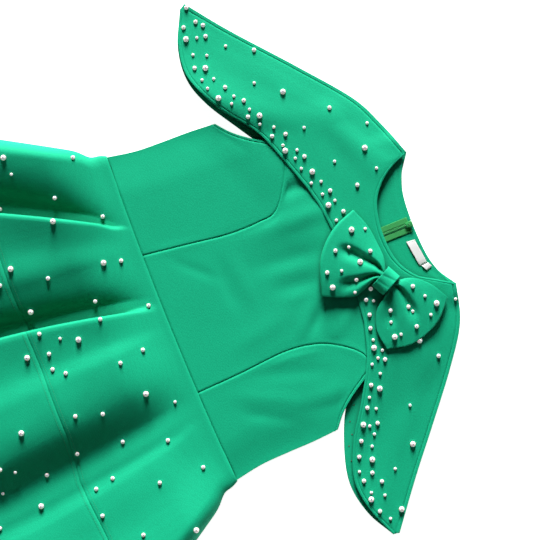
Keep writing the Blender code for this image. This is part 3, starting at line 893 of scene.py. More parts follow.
foldTable = (
    # name, waist x, tier x, hem x, tier rise, hem rise, tuck, columns
    ("sideRightEdge", -244, -343, -479, 0, 0, 0, 0),
    ("sideRightRoll", -230, -322, -450, 30, 38, 0, 4),
    ("valley1", -146, -254, -370, 1, 1, 0, 7),
    ("ridge1", -134, -230, -345, 38, 47, 8, 6),
    ("crease1", -124, -176, -262, 30, 38, 0, 4),
    ("shelf1", -108, -122, -166, 25, 32, 0, 3),
    ("valley2", -36, -74, -90, 1, 1, 0, 7),
    ("ridge2", -14, -55, -70, 35, 44, 8, 6),
    ("crease2", 3, -4, -10, 31, 39, 0, 3),
    ("hump2", 17, 28, 38, 35, 45, 0, 2),
    ("slope2", 58, 86, 100, 31, 38, 0, 4),
    ("valley3", 110, 128, 142, 10, 14, 0, 4),
    ("ridge3", 134, 168, 184, 9, 12, 0, 5),
    ("crease3", 144, 178, 196, 9.5, 13, 0, 2),
    ("ridge4", 154, 196, 216, 14, 18, 0, 3),
    ("dip4", 190, 264, 352, 20, 27, 0, 5),
    ("sideLeftRoll", 226, 326, 450, 29, 38, 0, 4),
    ("sideLeftEdge", 244, 352, 479, 0, 0, 0, 4),
)
skirt = {
    "pinch": 6.0,
    "pinchDrop": 26.0,
    "pinchReach": 13.0,
    "foldStart": 95.0,
    "earlyShare": 0.75,
    "floorShare": 0.3,     # of a tucked fold's columns, before its wall
    "under": 1.9,          # how far the wall runs under its ridge, to the tuck
    "over": 1.3,
    "hang": 2.1,           # how steeply the cloth drops into a valley, to its mean slope
    "floorFall": 0.1,
    "troughFall": 1.1,
    "rollFall": 0.13,
    "rollRun": 20.0,
    "columnsEach": 3,      # finer columns for each of the table's
    "upperRows": 58,
    "lowerRows": 74,
    "stitchAway": 5.5,     # topstitching beside the tier seam
    "stitchDepth": 0.5,
    "stitchWidth": 1.0,
    "hemTurn": 22.0,       # depth of the turned up hem
    "hemDepth": 0.35,
    "hemWidth": 1.4,
    "seamShare": 0.9,      # of a full seam's pull
    "sideFade": 40.0,
    "waistFade": 30.0,
    "crowding": 0.4,
    "backRows": 14,
    "backLowerRows": 18,
    "backColumns": 40,
}


def foldX(fold, drop):
    waistX, tierX, hemX = fold[1:4]
    a = drop / dress["tierDrop"]
    b = drop / dress["skirtDrop"]
    ratio = dress["tierDrop"] / dress["skirtDrop"]
    x = (waistX * (1 - a) * (1 - b)
         + tierX * a * (1 - b) / (1 - ratio)
         + hemX * b * (a - 1) / (1 / ratio - 1))
    pinched = skirt["pinch"] * math.exp(-((drop - skirt["pinchDrop"]) / skirt["pinchReach"]) ** 2)
    return x * (1 - pinched / dress["waistHalfWidth"])


def foldRise(fold, drop):
    tierRise, hemRise = fold[4:6]
    start = dress["airInBodice"] if tierRise else 0.0
    if drop < dress["tierDrop"]:
        grown = blend(ease(drop / dress["tierDrop"]), ease(drop / skirt["foldStart"]), skirt["earlyShare"])
        return blend(start, tierRise, grown)
    return blend(tierRise, hemRise, (drop - dress["tierDrop"]) / (dress["skirtDrop"] - dress["tierDrop"]))


def rowY(waistX, tierX, hemX, drop):
    tierY = along(outlines["tierLine"], tierX)
    hemY = (-dress["skirtDrop"] - dress["waistSag"]
            + dress["hemSideRise"] * (hemX / dress["hemHalfWidth"]) ** 2)
    if drop < dress["tierDrop"]:
        return blend(waistLine(waistX), tierY, drop / dress["tierDrop"])
    return blend(tierY, hemY, (drop - dress["tierDrop"]) / (dress["skirtDrop"] - dress["tierDrop"]))


def hermite(start, end, leaving, arriving, s):
    cube, square = s * s * s, s * s
    share = 3 * square - 2 * cube
    slopes = (cube - 2 * square + s) * leaving + (cube - square) * arriving
    return (1 - share) * start + share * end + slopes


def slopeAt(k, xs, zs, leaving):
    # how the cloth slopes where it passes a fold's line
    name = foldTable[k][0]
    fall = (zs[k] - zs[k - 1]) / (xs[k] - xs[k - 1]) if k else 0.0
    if name == "valley3":
        return skirt["troughFall"] * fall
    if "valley" in name:
        return skirt["floorFall"] if leaving else skirt["hang"] * fall
    if foldTable[k][6]:
        return (zs[k + 1] - zs[k]) / (xs[k + 1] - xs[k])
    if "Roll" in name:
        if (k == 1) != leaving:
            return 0.0
        return skirt["rollFall"] * (1 if k > 1 else -1) * ease(zs[k] / skirt["rollRun"])
    return (zs[k + 1] - zs[k - 1]) / (xs[k + 1] - xs[k - 1])


def skirtRow(drop, trim=0.0):
    xs = [foldX(fold, drop) for fold in foldTable]
    zs = [foldRise(fold, drop) for fold in foldTable]
    points = []
    for k, (before, after) in enumerate(zip(foldTable, foldTable[1:])):
        columns = after[7] * skirt["columnsEach"]
        grown = ease(drop / skirt["foldStart"])
        tuck = after[6] * grown
        width = xs[k + 1] - xs[k]
        for i in range(1 if k else 0, columns + 1):
            s = i / columns
            across, bulge = s, 0.0
            if after[6]:
                # the floor first, then an S that stands under the ridge's nose
                floor = skirt["floorShare"]
                floorEnd = blend(floor, 1.0, grown)
                u = max(0.0, (s - floor) / (1 - floor))
                across = floorEnd * min(s / floor, 1.0) + (1 - floorEnd) * u
                leave, arrive = 3 * u * (1 - u) ** 2, 3 * u * u * (1 - u)
                bulge = tuck * (leave * skirt["under"] - arrive * skirt["over"])
                z = blend(zs[k], zs[k + 1], arrive + u ** 3)
            elif "Edge" in before[0]:
                across = 1 - math.cos(math.pi * s / 2)
                z = zs[k + 1] * math.sin(math.pi * s / 2)
            elif "Edge" in after[0]:
                across = math.sin(math.pi * s / 2)
                z = zs[k] * math.cos(math.pi * s / 2)
            else:
                leaving = slopeAt(k, xs, zs, True) * width
                arriving = slopeAt(k + 1, xs, zs, False) * width
                z = hermite(zs[k], zs[k + 1], leaving, arriving, s)
            places = [blend(before[n], after[n], across) for n in (1, 2, 3)]
            points.append((xs[k] + width * across + bulge, rowY(*places, drop) + trim, layer + max(z, 0.0)))
    return points


def flatRow(drop, trim, start, end, count):
    first, last = foldTable[0], foldTable[-1]
    row = []
    for s in np.linspace(start, end, count):
        places = [blend(first[n], last[n], s) for n in (1, 2, 3)]
        row.append((blend(foldX(first, drop), foldX(last, drop), s), rowY(*places, drop) + trim, 0.0))
    return row


def tierGrid(tier, places, makeRow, *more):
    # rows from a tier's lower edge up, with its first and last trimmed for the seam gaps
    half = dress["seamGap"] / 2
    if tier == "upper":
        low, high, trimLow, trimHigh = dress["tierDrop"], 0.0, half, -dress["seamGap"]
    else:
        low, high, trimLow, trimHigh = dress["skirtDrop"], dress["tierDrop"], 0.0, -half
    drops = blend(low, high, places)
    trims = np.zeros(len(drops))
    trims[0], trims[-1] = trimLow, trimHigh
    return np.array([makeRow(drop, trim, *more) for drop, trim in zip(drops, trims)])


def buildSkirtFront():
    under = {"upper": ["skirtBackUpperLeft", "skirtBackUpperRight"], "lower": ["skirtBackLower"]}
    for tier, restsOn in under.items():
        places = crowded(skirt[tier + "Rows"], skirt["crowding"], skirt["crowding"])
        grid = tierGrid(tier, places, skirtRow)
        d = edgeDistances(grid)
        soft = np.clip(np.minimum(d["left"], d["right"]) / skirt["sideFade"], 0, 1)
        share = skirt["seamShare"] * np.clip(soft * 3, 0, 1)
        swell = unevenness(grid, "skirt") * soft
        if tier == "upper":
            fromTier = d["bottom"]
            swell *= np.clip(d["top"] / skirt["waistFade"], 0, 1)
            grid[..., 2] += seamPull(d["top"]) * share
        else:
            fromTier = d["top"]
            hem = skirt["hemDepth"] * bell(d["bottom"] - skirt["hemTurn"], skirt["hemWidth"])
            grid[..., 2] -= hem * soft
        stitched = skirt["stitchDepth"] * bell(fromTier - skirt["stitchAway"], skirt["stitchWidth"])
        grid[..., 2] += swell + seamPull(fromTier) * share - stitched * soft
        clothPiece("skirtFront" + tier.capitalize(), "skirt_front_" + tier, grid, restsOn)


def buildSkirtBack():
    split = dress["seamGap"] / (4 * dress["waistHalfWidth"])
    places = np.linspace(0, 1, skirt["backRows"])
    for side, start, end in (("left", 0, 0.5 - split), ("right", 0.5 + split, 1)):
        grid = tierGrid("upper", places, flatRow, start, end, skirt["backColumns"])
        clothPiece("skirtBackUpper" + side.capitalize(), "skirt_back_upper_" + side, grid, [])
    places = np.linspace(0, 1, skirt["backLowerRows"])
    grid = tierGrid("lower", places, flatRow, 0, 1, 2 * skirt["backColumns"])
    clothPiece("skirtBackLower", "skirt_back_lower", grid, [])


# Bow

bow = {
    "middle": (62, 297),
    "tilt": math.radians(27),
    "clear": 15.4,
    "loopRise": 21.0,
    "loopPuff": 0.12,
    "puffLean": 0.8,
    "edgeRise": 5.0,
    "endRise": {"left": 9.5, "right": 4.0},
    "knotRise": 9.0,
    "sideRoundness": 3,
    "leastAir": 1.5,
    "droop": 2.5,
    "droopRun": 0.6,
    "steepSide": 0.75,
    "softSide": 1.35,
    "fadeIn": 0.15,
    "fadeOut": 0.25,
    "knotWidth": 21.0,
    "knotHalfHeight": 16.0,
    "knotDepthOver": 11.0,
    "knotDepthUnder": 5.0,
    "knotDrop": 1.0,
    "roundnessOver": 0.8,
    "roundnessUnder": 0.5,
    "knotWaist": 0.06,
    # place across, lean, depth and width of the band's pleats
    "pleats": ((5, 0.25, 0.9, 1.8), (-6, 0.1, 0.6, 2.0)),
    "across": 47,
    "outward": 44,
    "knotAround": 72,
    "knotRings": 22,
}
loopOutlines = {
    "left": {
        "knot": ((-7, -9), (-7, 10)),
        "lower": ((-7, -9), (-12.5, -13), (-14, -30), (-18, -45), (-33, -60), (-51, -74)),
        "end": ((-51, -74), (-84, -36), (-98, 5), (-97, 45)),
        "upper": ((-7, 10), (-13, 14), (-24, 23), (-41, 31), (-68, 41), (-97, 45)),
    },
    "right": {
        "knot": ((8, -10), (8, 10)),
        "lower": ((8, -10), (12.5, -13), (14.5, -28), (20, -43), (38, -61), (63, -70)),
        "end": ((63, -70), (85, -40), (91, 2), (79, 40)),
        "upper": ((8, 10), (13, 13.5), (26, 28), (50, 38), (79, 40)),
    },
}
loopFolds = {
    # place across at the knot and at the end (-1 to 1), depth, width, how far it runs (0 to 1)
    "left": ((0.5, 0.1, 7.5, 0.13, 0.66), (-0.1, -0.9, 6.0, 0.15, 0.55)),
    "right": ((-0.3, -0.65, 4.5, 0.14, 0.5), (0.35, 0.0, 5.5, 0.13, 0.58)),
}


def bowToGarment(point):
    u, v = point
    c, s = math.cos(bow["tilt"]), math.sin(bow["tilt"])
    return (bow["middle"][0] + u * c - v * s, bow["middle"][1] + u * s + v * c)


def loopRiseAt(side, r, w):
    puff = bow["loopRise"] * bow["loopPuff"] * math.sin(math.pi * r ** bow["puffLean"])
    arch = blend(bow["knotRise"], bow["endRise"][side], r) + puff
    rise = blend(arch, min(bow["edgeRise"], arch), abs(w) ** bow["sideRoundness"])
    for start, end, depth, width, reach in loopFolds[side]:
        centre = blend(start, end, r)
        fade = ease(r / bow["fadeIn"]) * (1 - ease((r - reach) / bow["fadeOut"]))
        # steep on one side and soft on the other, as a pinched fold is
        across = w - centre
        spread = width * (bow["steepSide"] if across > 0 else bow["softSide"])
        rise -= depth * fade * math.exp(-(across / spread) ** 2)
    return max(rise, dress["wall"] + bow["leastAir"])


def buildBowLoop(side):
    places = crowded(bow["outward"], 0.4, 0.2)
    edges = {}
    for key, points in loopOutlines[side].items():
        stations = np.linspace(0, 1, bow["across"]) if key in ("knot", "end") else places
        edges[key] = curve([bowToGarment(p) for p in points], stations)
    flat = coonsPatch(edges["knot"], edges["end"], edges["lower"], edges["upper"])
    sides = np.linspace(-1, 1, bow["across"])
    # the loops hang a little lower towards their ends
    lower = np.array([[ease(r / bow["droopRun"])] * len(sides) for r in places])
    under = bow["clear"] - bow["droop"] * lower
    rise = np.array([[loopRiseAt(side, r, w) for w in sides] for r in places])
    back = np.dstack([flat, under])
    front = np.dstack([flat, under + rise])
    outward = front[-1].mean(axis=0)[:2] - back[0].mean(axis=0)[:2]
    outward /= np.linalg.norm(outward)
    radius = (front[-1, :, 2] - back[-1, :, 2]) / 2
    turn = []
    for angle in range(15, 180, 15):
        row = back[-1].copy()
        row[:, :2] += outward * (radius * math.sin(math.radians(angle)))[:, None]
        row[:, 2] += radius * (1 - math.cos(math.radians(angle)))
        turn.append(row)
    grid = np.concatenate([back, np.array(turn), front[::-1]])
    # the wall grows outwards on both, though one grid runs the other way round
    offset = 1.0 if side == "left" else -1.0
    name = "bowLoop" + side.capitalize()
    clothPiece(name, "bow_loop_" + side, grid, ["capeFront"], held="folded", offset=offset)


def bandLift(angle, across, lengthwise):
    # how far the band stands out round the knot: fuller above, flat below
    if math.sin(angle) <= 0:
        return -bow["knotDepthUnder"] * abs(math.sin(angle)) ** bow["roundnessUnder"]
    lift = bow["knotDepthOver"] * math.sin(angle) ** bow["roundnessOver"]
    lift *= 1 - bow["knotWaist"] * math.cos(math.pi * lengthwise / bow["knotWidth"])
    for place, lean, depth, width in bow["pleats"]:
        lift -= depth * float(bell(across - place - lean * lengthwise, width))
    return lift


def buildBowKnot():
    centreZ = bow["clear"] - bow["knotDrop"] + bow["knotDepthUnder"]
    grid = np.zeros((bow["knotRings"], bow["knotAround"], 3))
    half = bow["knotWidth"] / 2
    for j, lengthwise in enumerate(np.linspace(-half, half, bow["knotRings"])):
        for k in range(bow["knotAround"]):
            angle = 2 * math.pi * k / bow["knotAround"]
            roundness = bow["roundnessOver"] if math.sin(angle) > 0 else bow["roundnessUnder"]
            across = bow["knotHalfHeight"] * abs(math.cos(angle)) ** roundness
            across = math.copysign(across, math.cos(angle))
            grid[j, k] = (*bowToGarment((lengthwise, across)), centreZ + bandLift(angle, across, lengthwise))
    clothPiece("bowKnot", "bow_knot", grid, ["capeFront"], held="folded", closed=True)


# Zip, label and size tab

zipper = {
    "top": 358.0,
    "bottom": -118.0,
    "middle": 1.5,
    "tapeWidth": 8.0,
    "tapeColumns": 7,
    "fineFrom": 206.0,       # above this the tape's rows are closer
    "coarseRows": 30,
    "fineRows": 90,
    "coilWidth": 5.0,
    "coilTop": 352.0,
    "shownFrom": 262.0,      # above this every tooth is there
    "pitch": 1.7,
    "toothRadius": 0.55,
    "toothSlant": (0.9, -0.3),
    "toothRise": (0.35, 0.85),
    "toothReach": 0.9,       # past the middle
    "toothStagger": 0.4,
    "sliderSize": (9, 10, 3),
    "sliderY": 357.5,
    "sliderTaper": 0.3,
    "taperFrom": 0.2,
    "taperRun": 1.2,
    "sliderWaist": 0.06,
    "sliderCrown": 0.22,
    "sliderRounding": 0.5,
    "lugAside": 0.8,
    "lugReach": 2.0,
    "lugRadius": 0.6,
    "lugSunk": 0.4,
}
labels = {
    # node, corners, and where it is sewn down, in shares of its length
    "neckLabel": ("neck_label", ((23, 345), (61, 350), (60, 361.5), (24, 357)), (0.04, 0.96)),
    "sizeTab": ("size_tab", ((61.9, 352.5), (71, 357), (67.5, 366), (60.9, 362.8)), (0.12,)),
}
labelShape = {"columns": 24, "rows": 12, "lift": 0.15, "arch": 0.9, "lean": 0.3}


def onBack(x, y):
    return backHeight(x, y) + layer


def addCapsule(bm, start, end, radius, sides=6):
    start, end = Vector(start), Vector(end)
    axis = (end - start).normalized()
    turn = axis.to_track_quat("Z", "Y")
    rings = []
    # narrower rings at both ends round them off
    for place, share in ((0, 0.45), (0.14, 1.0), (0.86, 1.0), (1, 0.45)):
        centre = start.lerp(end, place)
        ring = []
        for k in range(sides):
            a = 2 * math.pi * k / sides
            ring.append(bm.verts.new(centre + turn @ Vector((math.cos(a), math.sin(a), 0)) * radius * share))
        rings.append(ring)
    for low, high in zip(rings, rings[1:]):
        for k in range(sides):
            bm.faces.new((low[k], low[(k + 1) % sides], high[(k + 1) % sides], high[k]))
    bm.faces.new(rings[0][::-1])
    bm.faces.new(rings[-1])


def meshFrom(name, bm):
    mesh = bpy.data.meshes.new(name)
    bm.to_mesh(mesh)
    bm.free()
    mesh.shade_smooth()
    return mesh


def worldPoint(x, y, z):
    return Vector(toWorld((x, y, z)))


def buildZipTapes():
    coarse = np.linspace(zipper["bottom"], zipper["fineFrom"] - 1, zipper["coarseRows"])
    fine = np.linspace(zipper["fineFrom"] + 1, zipper["top"], zipper["fineRows"])
    for side, sign in bothSides:
        near = zipper["middle"] + sign * (zipper["coilWidth"] / 2 + dress["seamGap"])
        xs = np.linspace(*sorted((near, near + sign * zipper["tapeWidth"])), zipper["tapeColumns"])
        grid = withHeights(np.array([[(x, y) for x in xs] for y in (*coarse, *fine)]), onBack)
        end = side.capitalize()
        clothPiece("zipTape" + end, "zip_tape_" + side, grid, ["bodiceBack" + end], kind="tape")


def buildZipCoil():
    bm = bmesh.new()
    middle, slant, rise = zipper["middle"], zipper["toothSlant"], zipper["toothRise"]
    y = zipper["bottom"]
    while y < zipper["coilTop"]:
        z = onBack(middle, y) + zipper["toothRadius"]
        for sign in (-1, 1):
            at = y + sign * zipper["toothStagger"]
            outer = worldPoint(middle + sign * zipper["coilWidth"] / 2, at + slant[0], z + rise[0])
            inside = worldPoint(middle - sign * zipper["toothReach"], at + slant[1], z + rise[1])
            addCapsule(bm, outer, inside, zipper["toothRadius"] * mm)
        # the part that nobody sees has every fourth tooth
        y += zipper["pitch"] * (1 if y > zipper["shownFrom"] else 4)
    makePiece("zipCoil", meshFrom("zipCoil", bm), finish["coil"], "zip_coil")


def buildZipSlider():
    width, length, height = zipper["sliderSize"]
    middle, at = zipper["middle"], zipper["sliderY"]
    z = onBack(middle, at) + dress["trimWall"] + dress["seamGap"] + height / 2
    bm = bmesh.new()
    bmesh.ops.create_cube(bm, size=1)
    bmesh.ops.subdivide_edges(bm, edges=bm.edges[:], cuts=5, use_grid_fill=True)
    for v in bm.verts:
        u, t, h = v.co * 2
        # shoulders at the neck end, waisted towards the coil, a low crown along the middle
        taper = 1 - zipper["sliderTaper"] * ease((zipper["taperFrom"] - t) / zipper["taperRun"])
        crown = zipper["sliderCrown"] * max(0.0, h) * (1 - u * u)
        x = middle + u * width / 2 * taper
        y = at + t * length / 2 * (1 - zipper["sliderWaist"] * u * u)
        v.co = worldPoint(x, y, z + (h * (1 - zipper["sliderCrown"]) + crown) * height / 2)
    piece = makePiece("zipSlider", meshFrom("zipSlider", bm), finish["slider"], "zip_slider")
    rounding = piece.modifiers.new("rounding", "BEVEL")
    rounding.width = zipper["sliderRounding"] * mm
    rounding.segments = 2
    # the two small lugs that a pull would hang from
    bm = bmesh.new()
    lugZ = z + height / 2 - zipper["lugSunk"]
    for sign in (-1, 1):
        x = middle + sign * zipper["lugAside"]
        start = worldPoint(x, at - zipper["lugReach"], lugZ)
        addCapsule(bm, start, worldPoint(x, at + zipper["lugReach"], lugZ), zipper["lugRadius"] * mm, 8)
    makePiece("zipSliderLug", meshFrom("zipSliderLug", bm), finish["slider"])


def onLabel(corners, s, t):
    # a place on a label, s along it and t up it
    a, b, c, d = [np.array(p, float) for p in corners]
    return blend(blend(a, b, s), blend(d, c, s), t)


def buildLabels():
    columns, rows = labelShape["columns"], labelShape["rows"]
    s, t = np.linspace(0, 1, columns), np.linspace(0, 1, rows)
    fromMiddle, upwards = 2 * s[None, :] - 1, 2 * t[:, None] - 1
    for name, (node, corners, _) in labels.items():
        flat = [[onLabel(corners, u, v) for u in s] for v in t]
        grid = withHeights(np.array(flat), onBack)
        # pressed down where it is sewn at its two ends, and a little arched between them
        arch = labelShape["arch"] * (1 - fromMiddle ** 4) * (1 - labelShape["lean"] * upwards)
        grid[..., 2] += labelShape["lift"] + arch
        clothPiece(name, node, grid, ["bodiceBackRight"], kind="label")


buildBodice()
buildCapeFront()
buildCapeBacks()
print("bodice and cape made")
buildSkirtFront()
buildSkirtBack()
print("skirt made")
buildBowLoop("left")
buildBowLoop("right")
buildBowKnot()
buildZipTapes()
buildZipCoil()
buildZipSlider()
buildLabels()
print("bow, zip and labels made")


# Camera at the photograph's angle: straight down, the dress lying on its side in the picture

camera = {
    "place": Vector((-0.012, 0.195, 2.2)),
    "right": Vector((*picture["turn"], 0)).normalized(),
    "up": Vector((-picture["turn"][1], picture["turn"][0], 0)).normalized(),
    "sensor": 36.0,
    "viewWidth": 0.756,
    "focusHeight": 0.008,
    "pixels": 540,
}


def makeCamera():
    data = bpy.data.cameras.new("photoCamera")
    data.sensor_width = camera["sensor"]
    data.lens = camera["sensor"] * (camera["place"].z - camera["focusHeight"]) / camera["viewWidth"]
    data.clip_end = 20
    seen = bpy.data.objects.new("photoCamera", data)
    bpy.context.scene.collection.objects.link(seen)
    back = camera["right"].cross(camera["up"])
    matrix = seen.matrix_world.copy()
    for row in range(3):
        matrix[row][0], matrix[row][1] = camera["right"][row], camera["up"][row]
        matrix[row][2], matrix[row][3] = back[row], camera["place"][row]
    seen.matrix_world = matrix
    bpy.context.scene.camera = seen


def rayThrough(px, py):
    # the line of sight through a pixel of the 540 x 540 picture
    reach = camera["viewWidth"] / (camera["place"].z - camera["focusHeight"])
    right = (px / camera["pixels"] - 0.5) * reach
    up = (0.5 - py / camera["pixels"]) * reach
    return (camera["right"] * right + camera["up"] * up - Vector((0, 0, 1))).normalized()


makeCamera()


# Pearls, in three trade sizes (mm). Rows are x and y in the 540 x 540 picture.

pearlSizes = {"large": 8.0, "medium": 6.0, "small": 4.5}
pearlChart = {
    "capeFront": {
        "large": (
            (186, 39.3), (205.4, 68.2), (218.4, 98.2), (259.5, 115.6), (282.9, 91.8), (285.2, 150.7),
            (312.2, 171.7), (328.4, 205.1), (364.7, 147.8), (374, 347.8), (379.7, 388.5), (363.3, 424.6),
            (372.3, 459.4), (371.3, 499.2), (401.6, 509), (412.8, 443.9), (419.5, 340.4),
        ),
        "medium": (
            (186.3, 7.7), (195.5, 21.9), (202.9, 25.3), (183.6, 27.6), (205.6, 36.3), (254, 50.1),
            (194.6, 68.2), (225.1, 87.3), (243.7, 100.6), (248, 116.8), (329.4, 107.8), (272.1, 136.2),
            (285.5, 134.1), (304.4, 156.5), (330.1, 190.6), (343.4, 211.3), (357.3, 184.9), (370.7, 288.9),
            (366.1, 299.8), (369.5, 314.8), (370.4, 328.2), (385, 359.4), (371.1, 385), (367.3, 407.8),
            (377.6, 423.1), (361.3, 441), (359.2, 456.8), (372.3, 472.7), (363.9, 480.8), (381.9, 481.3),
            (379.9, 511.1), (438.4, 355.8),
        ),
        "small": (
            (196.8, 37.9), (225.6, 46), (193, 54.9), (206.8, 55.5), (202, 80.1), (213.7, 78.9),
            (207.5, 88.5), (254.2, 83), (233.9, 96.3), (231.6, 103.7), (249.4, 109.4), (259.9, 124.2),
            (367, 123.1), (273.8, 127.1), (304.1, 127.6), (282.9, 145.3), (297, 150), (295.3, 158.3),
            (301.3, 168.6), (311.3, 183.1), (321.1, 181.5), (322.5, 194.2), (334.9, 200.4), (336.3, 220.3),
            (334.6, 161.4), (376.4, 168.1), (373.5, 300.8), (373.2, 339.9), (382.3, 350.2), (378, 358),
            (372.1, 364.4), (380.2, 373.5), (369.4, 397.4), (376.1, 408.6), (369.7, 426), (374.4, 434.1),
            (372.1, 446.2), (359.5, 471.7), (371.4, 492.5), (384.9, 495.1), (390.5, 518.5), (395.2, 468.7),
            (410, 405.2), (455.5, 298.9),
        ),
    },
    "bowLoopLeft": {
        "large": (
            (351.5, 229.7), (360.1, 262.1), (332.7, 287.4),
        ),
        "medium": (
            (335.4, 250.7), (370.2, 250.9), (327.2, 272.6), (356.3, 279.3),
        ),
        "small": (
            (365.1, 228.7), (348.9, 246.9), (341.6, 270.8), (355, 292.4),
        ),
    },
    "bowLoopRight": {
        "large": (
            (436.5, 303.1), (394.7, 336.8),
        ),
        "medium": (
            (412.7, 286.2), (408.2, 306.8), (390.3, 310.5), (416.6, 326.3),
        ),
        "small": (
            (424.9, 295.9), (430.8, 314.6), (412.8, 311.2), (391, 322.1), (401, 334.3),
        ),
    },
    "skirt": {
        "large": (
            (3.4, 157.7), (53, 221.3), (103.5, 262.8), (10.7, 269), (30.7, 311.8), (78.5, 339.6),
            (27.2, 357.8), (145.9, 393.8), (21.4, 433.1), (41.3, 506.1), (196, 529.9),
        ),
        "medium": (
            (72.8, 157.7), (54.8, 197.9), (102.8, 216.5), (0, 209.2), (121.1, 260.7), (48, 278.3),
            (0, 285.5), (95.2, 301.2), (148.6, 305.5), (100.2, 319.3), (39.4, 333.9), (49.1, 353.9),
            (52.7, 369.4), (65.8, 373.3), (120.4, 363), (142.8, 349.9), (75.3, 416.2), (102.8, 414),
            (122.8, 441.7), (77.3, 453.7), (167.9, 440.3), (0, 469.8), (47, 474.9), (112.8, 478.4),
            (96.4, 489), (159.8, 482.7), (203.2, 467.2), (102.6, 515.7), (0, 528.3), (143.6, 534.9),
        ),
        "small": (
            (11.4, 174.3), (60.1, 338.5), (175.1, 401.9), (15.3, 472.3), (2.9, 493.5),
        ),
    },
}
pearl = {
    "sunk": 0.3,         # of its radius: its thread draws it down into the soft knit
    "upright": 0.6,      # how far it leans back from the cloth's slope
    "segments": 20,
    "rings": 14,
    "holeFrom": 0.96,    # of its height, up to the drilled hole's rim
}
scatter = {
    "seed": 41,
    "tries": 2600,
    "count": 128,
    "spacing": 24.0,
    "sizes": ("large", *["medium"] * 4, *["small"] * 2),
    "fromWaist": 12.0,
    "fromHem": 14.0,
    "fromSide": 0.04,
    "pastPicture": 4.0,
}


def treeOf(*names):
    depsgraph = bpy.context.evaluated_depsgraph_get()
    bm = bmesh.new()
    for name in names:
        bm.from_object(bpy.data.objects[name], depsgraph)
    tree = BVHTree.FromBMesh(bm)
    bm.free()
    return tree


def charted(name):
    return [(px, py, size) for size, places in pearlChart[name].items() for px, py in places]


def sewPearl(beads, tree, origin, direction, size):
    point, normal = tree.ray_cast(origin, direction)[:2]
    if point is None:
        return None
    normal = normal if normal.z > 0 else -normal
    upright = (normal + Vector((0, 0, pearl["upright"]))).normalized()
    radius = pearlSizes[size] / 2 * mm
    beads.append((*(point + upright * radius * pearl["sunk"]), radius))
    return point


def pearlMesh(name, beads):
    # one round bead, repeated at every place
    bm = bmesh.new()
    bmesh.ops.create_uvsphere(bm, u_segments=pearl["segments"], v_segments=pearl["rings"], radius=1)
    ball = np.array([v.co for v in bm.verts])
    faces = [[v.index for v in face.verts] for face in bm.faces]
    bm.free()
    beads = np.array(beads)
    points = (ball[None] * beads[:, None, 3:] + beads[:, None, :3]).reshape(-1, 3)
    every = [[k + start for k in face] for start in range(0, len(points), len(ball)) for face in faces]
    mesh = bpy.data.meshes.new(name)
    mesh.from_pydata(points.tolist(), [], every)
    mesh.shade_smooth()
    # the faces round the top are the drilled hole with its thread: a darker cap, the thread's colour and
    # painted shade of the hole
    threadAndShadeCap = [int(min(ball[k][2] for k in face) > pearl["holeFrom"]) for face in faces]
    mesh.polygons.foreach_set("material_index", threadAndShadeCap * len(beads))
    return mesh


def placePearls(name, beads):
    piece = makePiece(name + "Pearls", pearlMesh(name + "Pearls", beads), finish["pearl"])
    piece.data.materials.append(finish["hole"])


def buildPearls():
    bpy.context.view_layer.update()
    for name in ("capeFront", "bowLoopLeft", "bowLoopRight"):
        tree = treeOf(name)
        beads = []
        for px, py, size in charted(name):
            sewPearl(beads, tree, camera["place"], rayThrough(px, py), size)
        placePearls(name, beads)
        print("pearls on", name, len(beads), "of", len(charted(name)))


def scatterPlace(s, t):
    # a place high above the skirt: s across it, t down it
    margin = scatter["fromWaist"], scatter["fromHem"]
    drop = margin[0] + (dress["skirtDrop"] - sum(margin)) * t
    first, last = foldTable[0], foldTable[-1]
    x = blend(foldX(first, drop), foldX(last, drop), blend(scatter["fromSide"], 1 - scatter["fromSide"], s))
    y = rowY(*[blend(first[n], last[n], s) for n in (1, 2, 3)], drop)
    return worldPoint(x, y, 200)


def buildSkirtPearls():
    tiers = {name: (treeOf(name), []) for name in ("skirtFrontUpper", "skirtFrontLower")}
    placed = []

    def sewOnSkirt(origin, direction, size):
        for tree, beads in tiers.values():
            point = sewPearl(beads, tree, origin, direction, size)
            if point is not None:
                placed.append(point)
                return

    for px, py, size in charted("skirt"):
        sewOnSkirt(camera["place"], rayThrough(px, py), size)
    shown = len(placed)
    # past the picture's edge the same sprinkling goes on, by chance but never too close
    chance = random.Random(scatter["seed"])
    half = camera["viewWidth"] / 2 + scatter["pastPicture"] * mm
    for _ in range(scatter["tries"]):
        s, t = chance.random(), chance.random()
        size = chance.choice(scatter["sizes"])
        above = scatterPlace(s, t)
        seen = above - camera["place"]
        seen.z = 0
        inPicture = max(abs(seen.dot(camera["right"])), abs(seen.dot(camera["up"]))) < half
        nearest = min((above - other).xy.length for other in placed)
        if inPicture or nearest < scatter["spacing"] * mm or len(placed) - shown >= scatter["count"]:
            continue
        sewOnSkirt(above, Vector((0, 0, -1)), size)
    for name, (tree, beads) in tiers.items():
        placePearls(name, beads)
    print("pearls on the skirt", len(placed), "of them in the picture", shown)


buildPearls()
buildSkirtPearls()


# Sewing: topstitching beside the tier seam, and the knots that hold the pearls, seen from inside

sewing = {
    "stitch": 2.6,
    "pitch": 3.5,
    "radius": 0.28,
    "start": 2.0,
    "aboveCloth": 0.1,
    "knotChart": (
        # x and y in the picture, on the inside of the cape's back where it peeks out
        (354, 405), (350, 421.5), (352, 434.5), (349, 446), (351.5, 461), (233.5, 117),
    ),
    "knotReach": 0.9,
    "knotRadius": 0.35,
    "knotLift": 0.2,
    "knotTurns": (0.4, 1.6, 2.7),
    "labelStitches": 5,
    "labelStitch": (0.15, 0.75),    # where each starts and ends within its share
    "labelLift": 0.08,
    "labelRadius": 0.2,
}


def dropOnto(tree, x, y):
    # the top of the cloth under a place, or nothing
    return tree.ray_cast(worldPoint(x, y, 200), Vector((0, 0, -1)))[0]


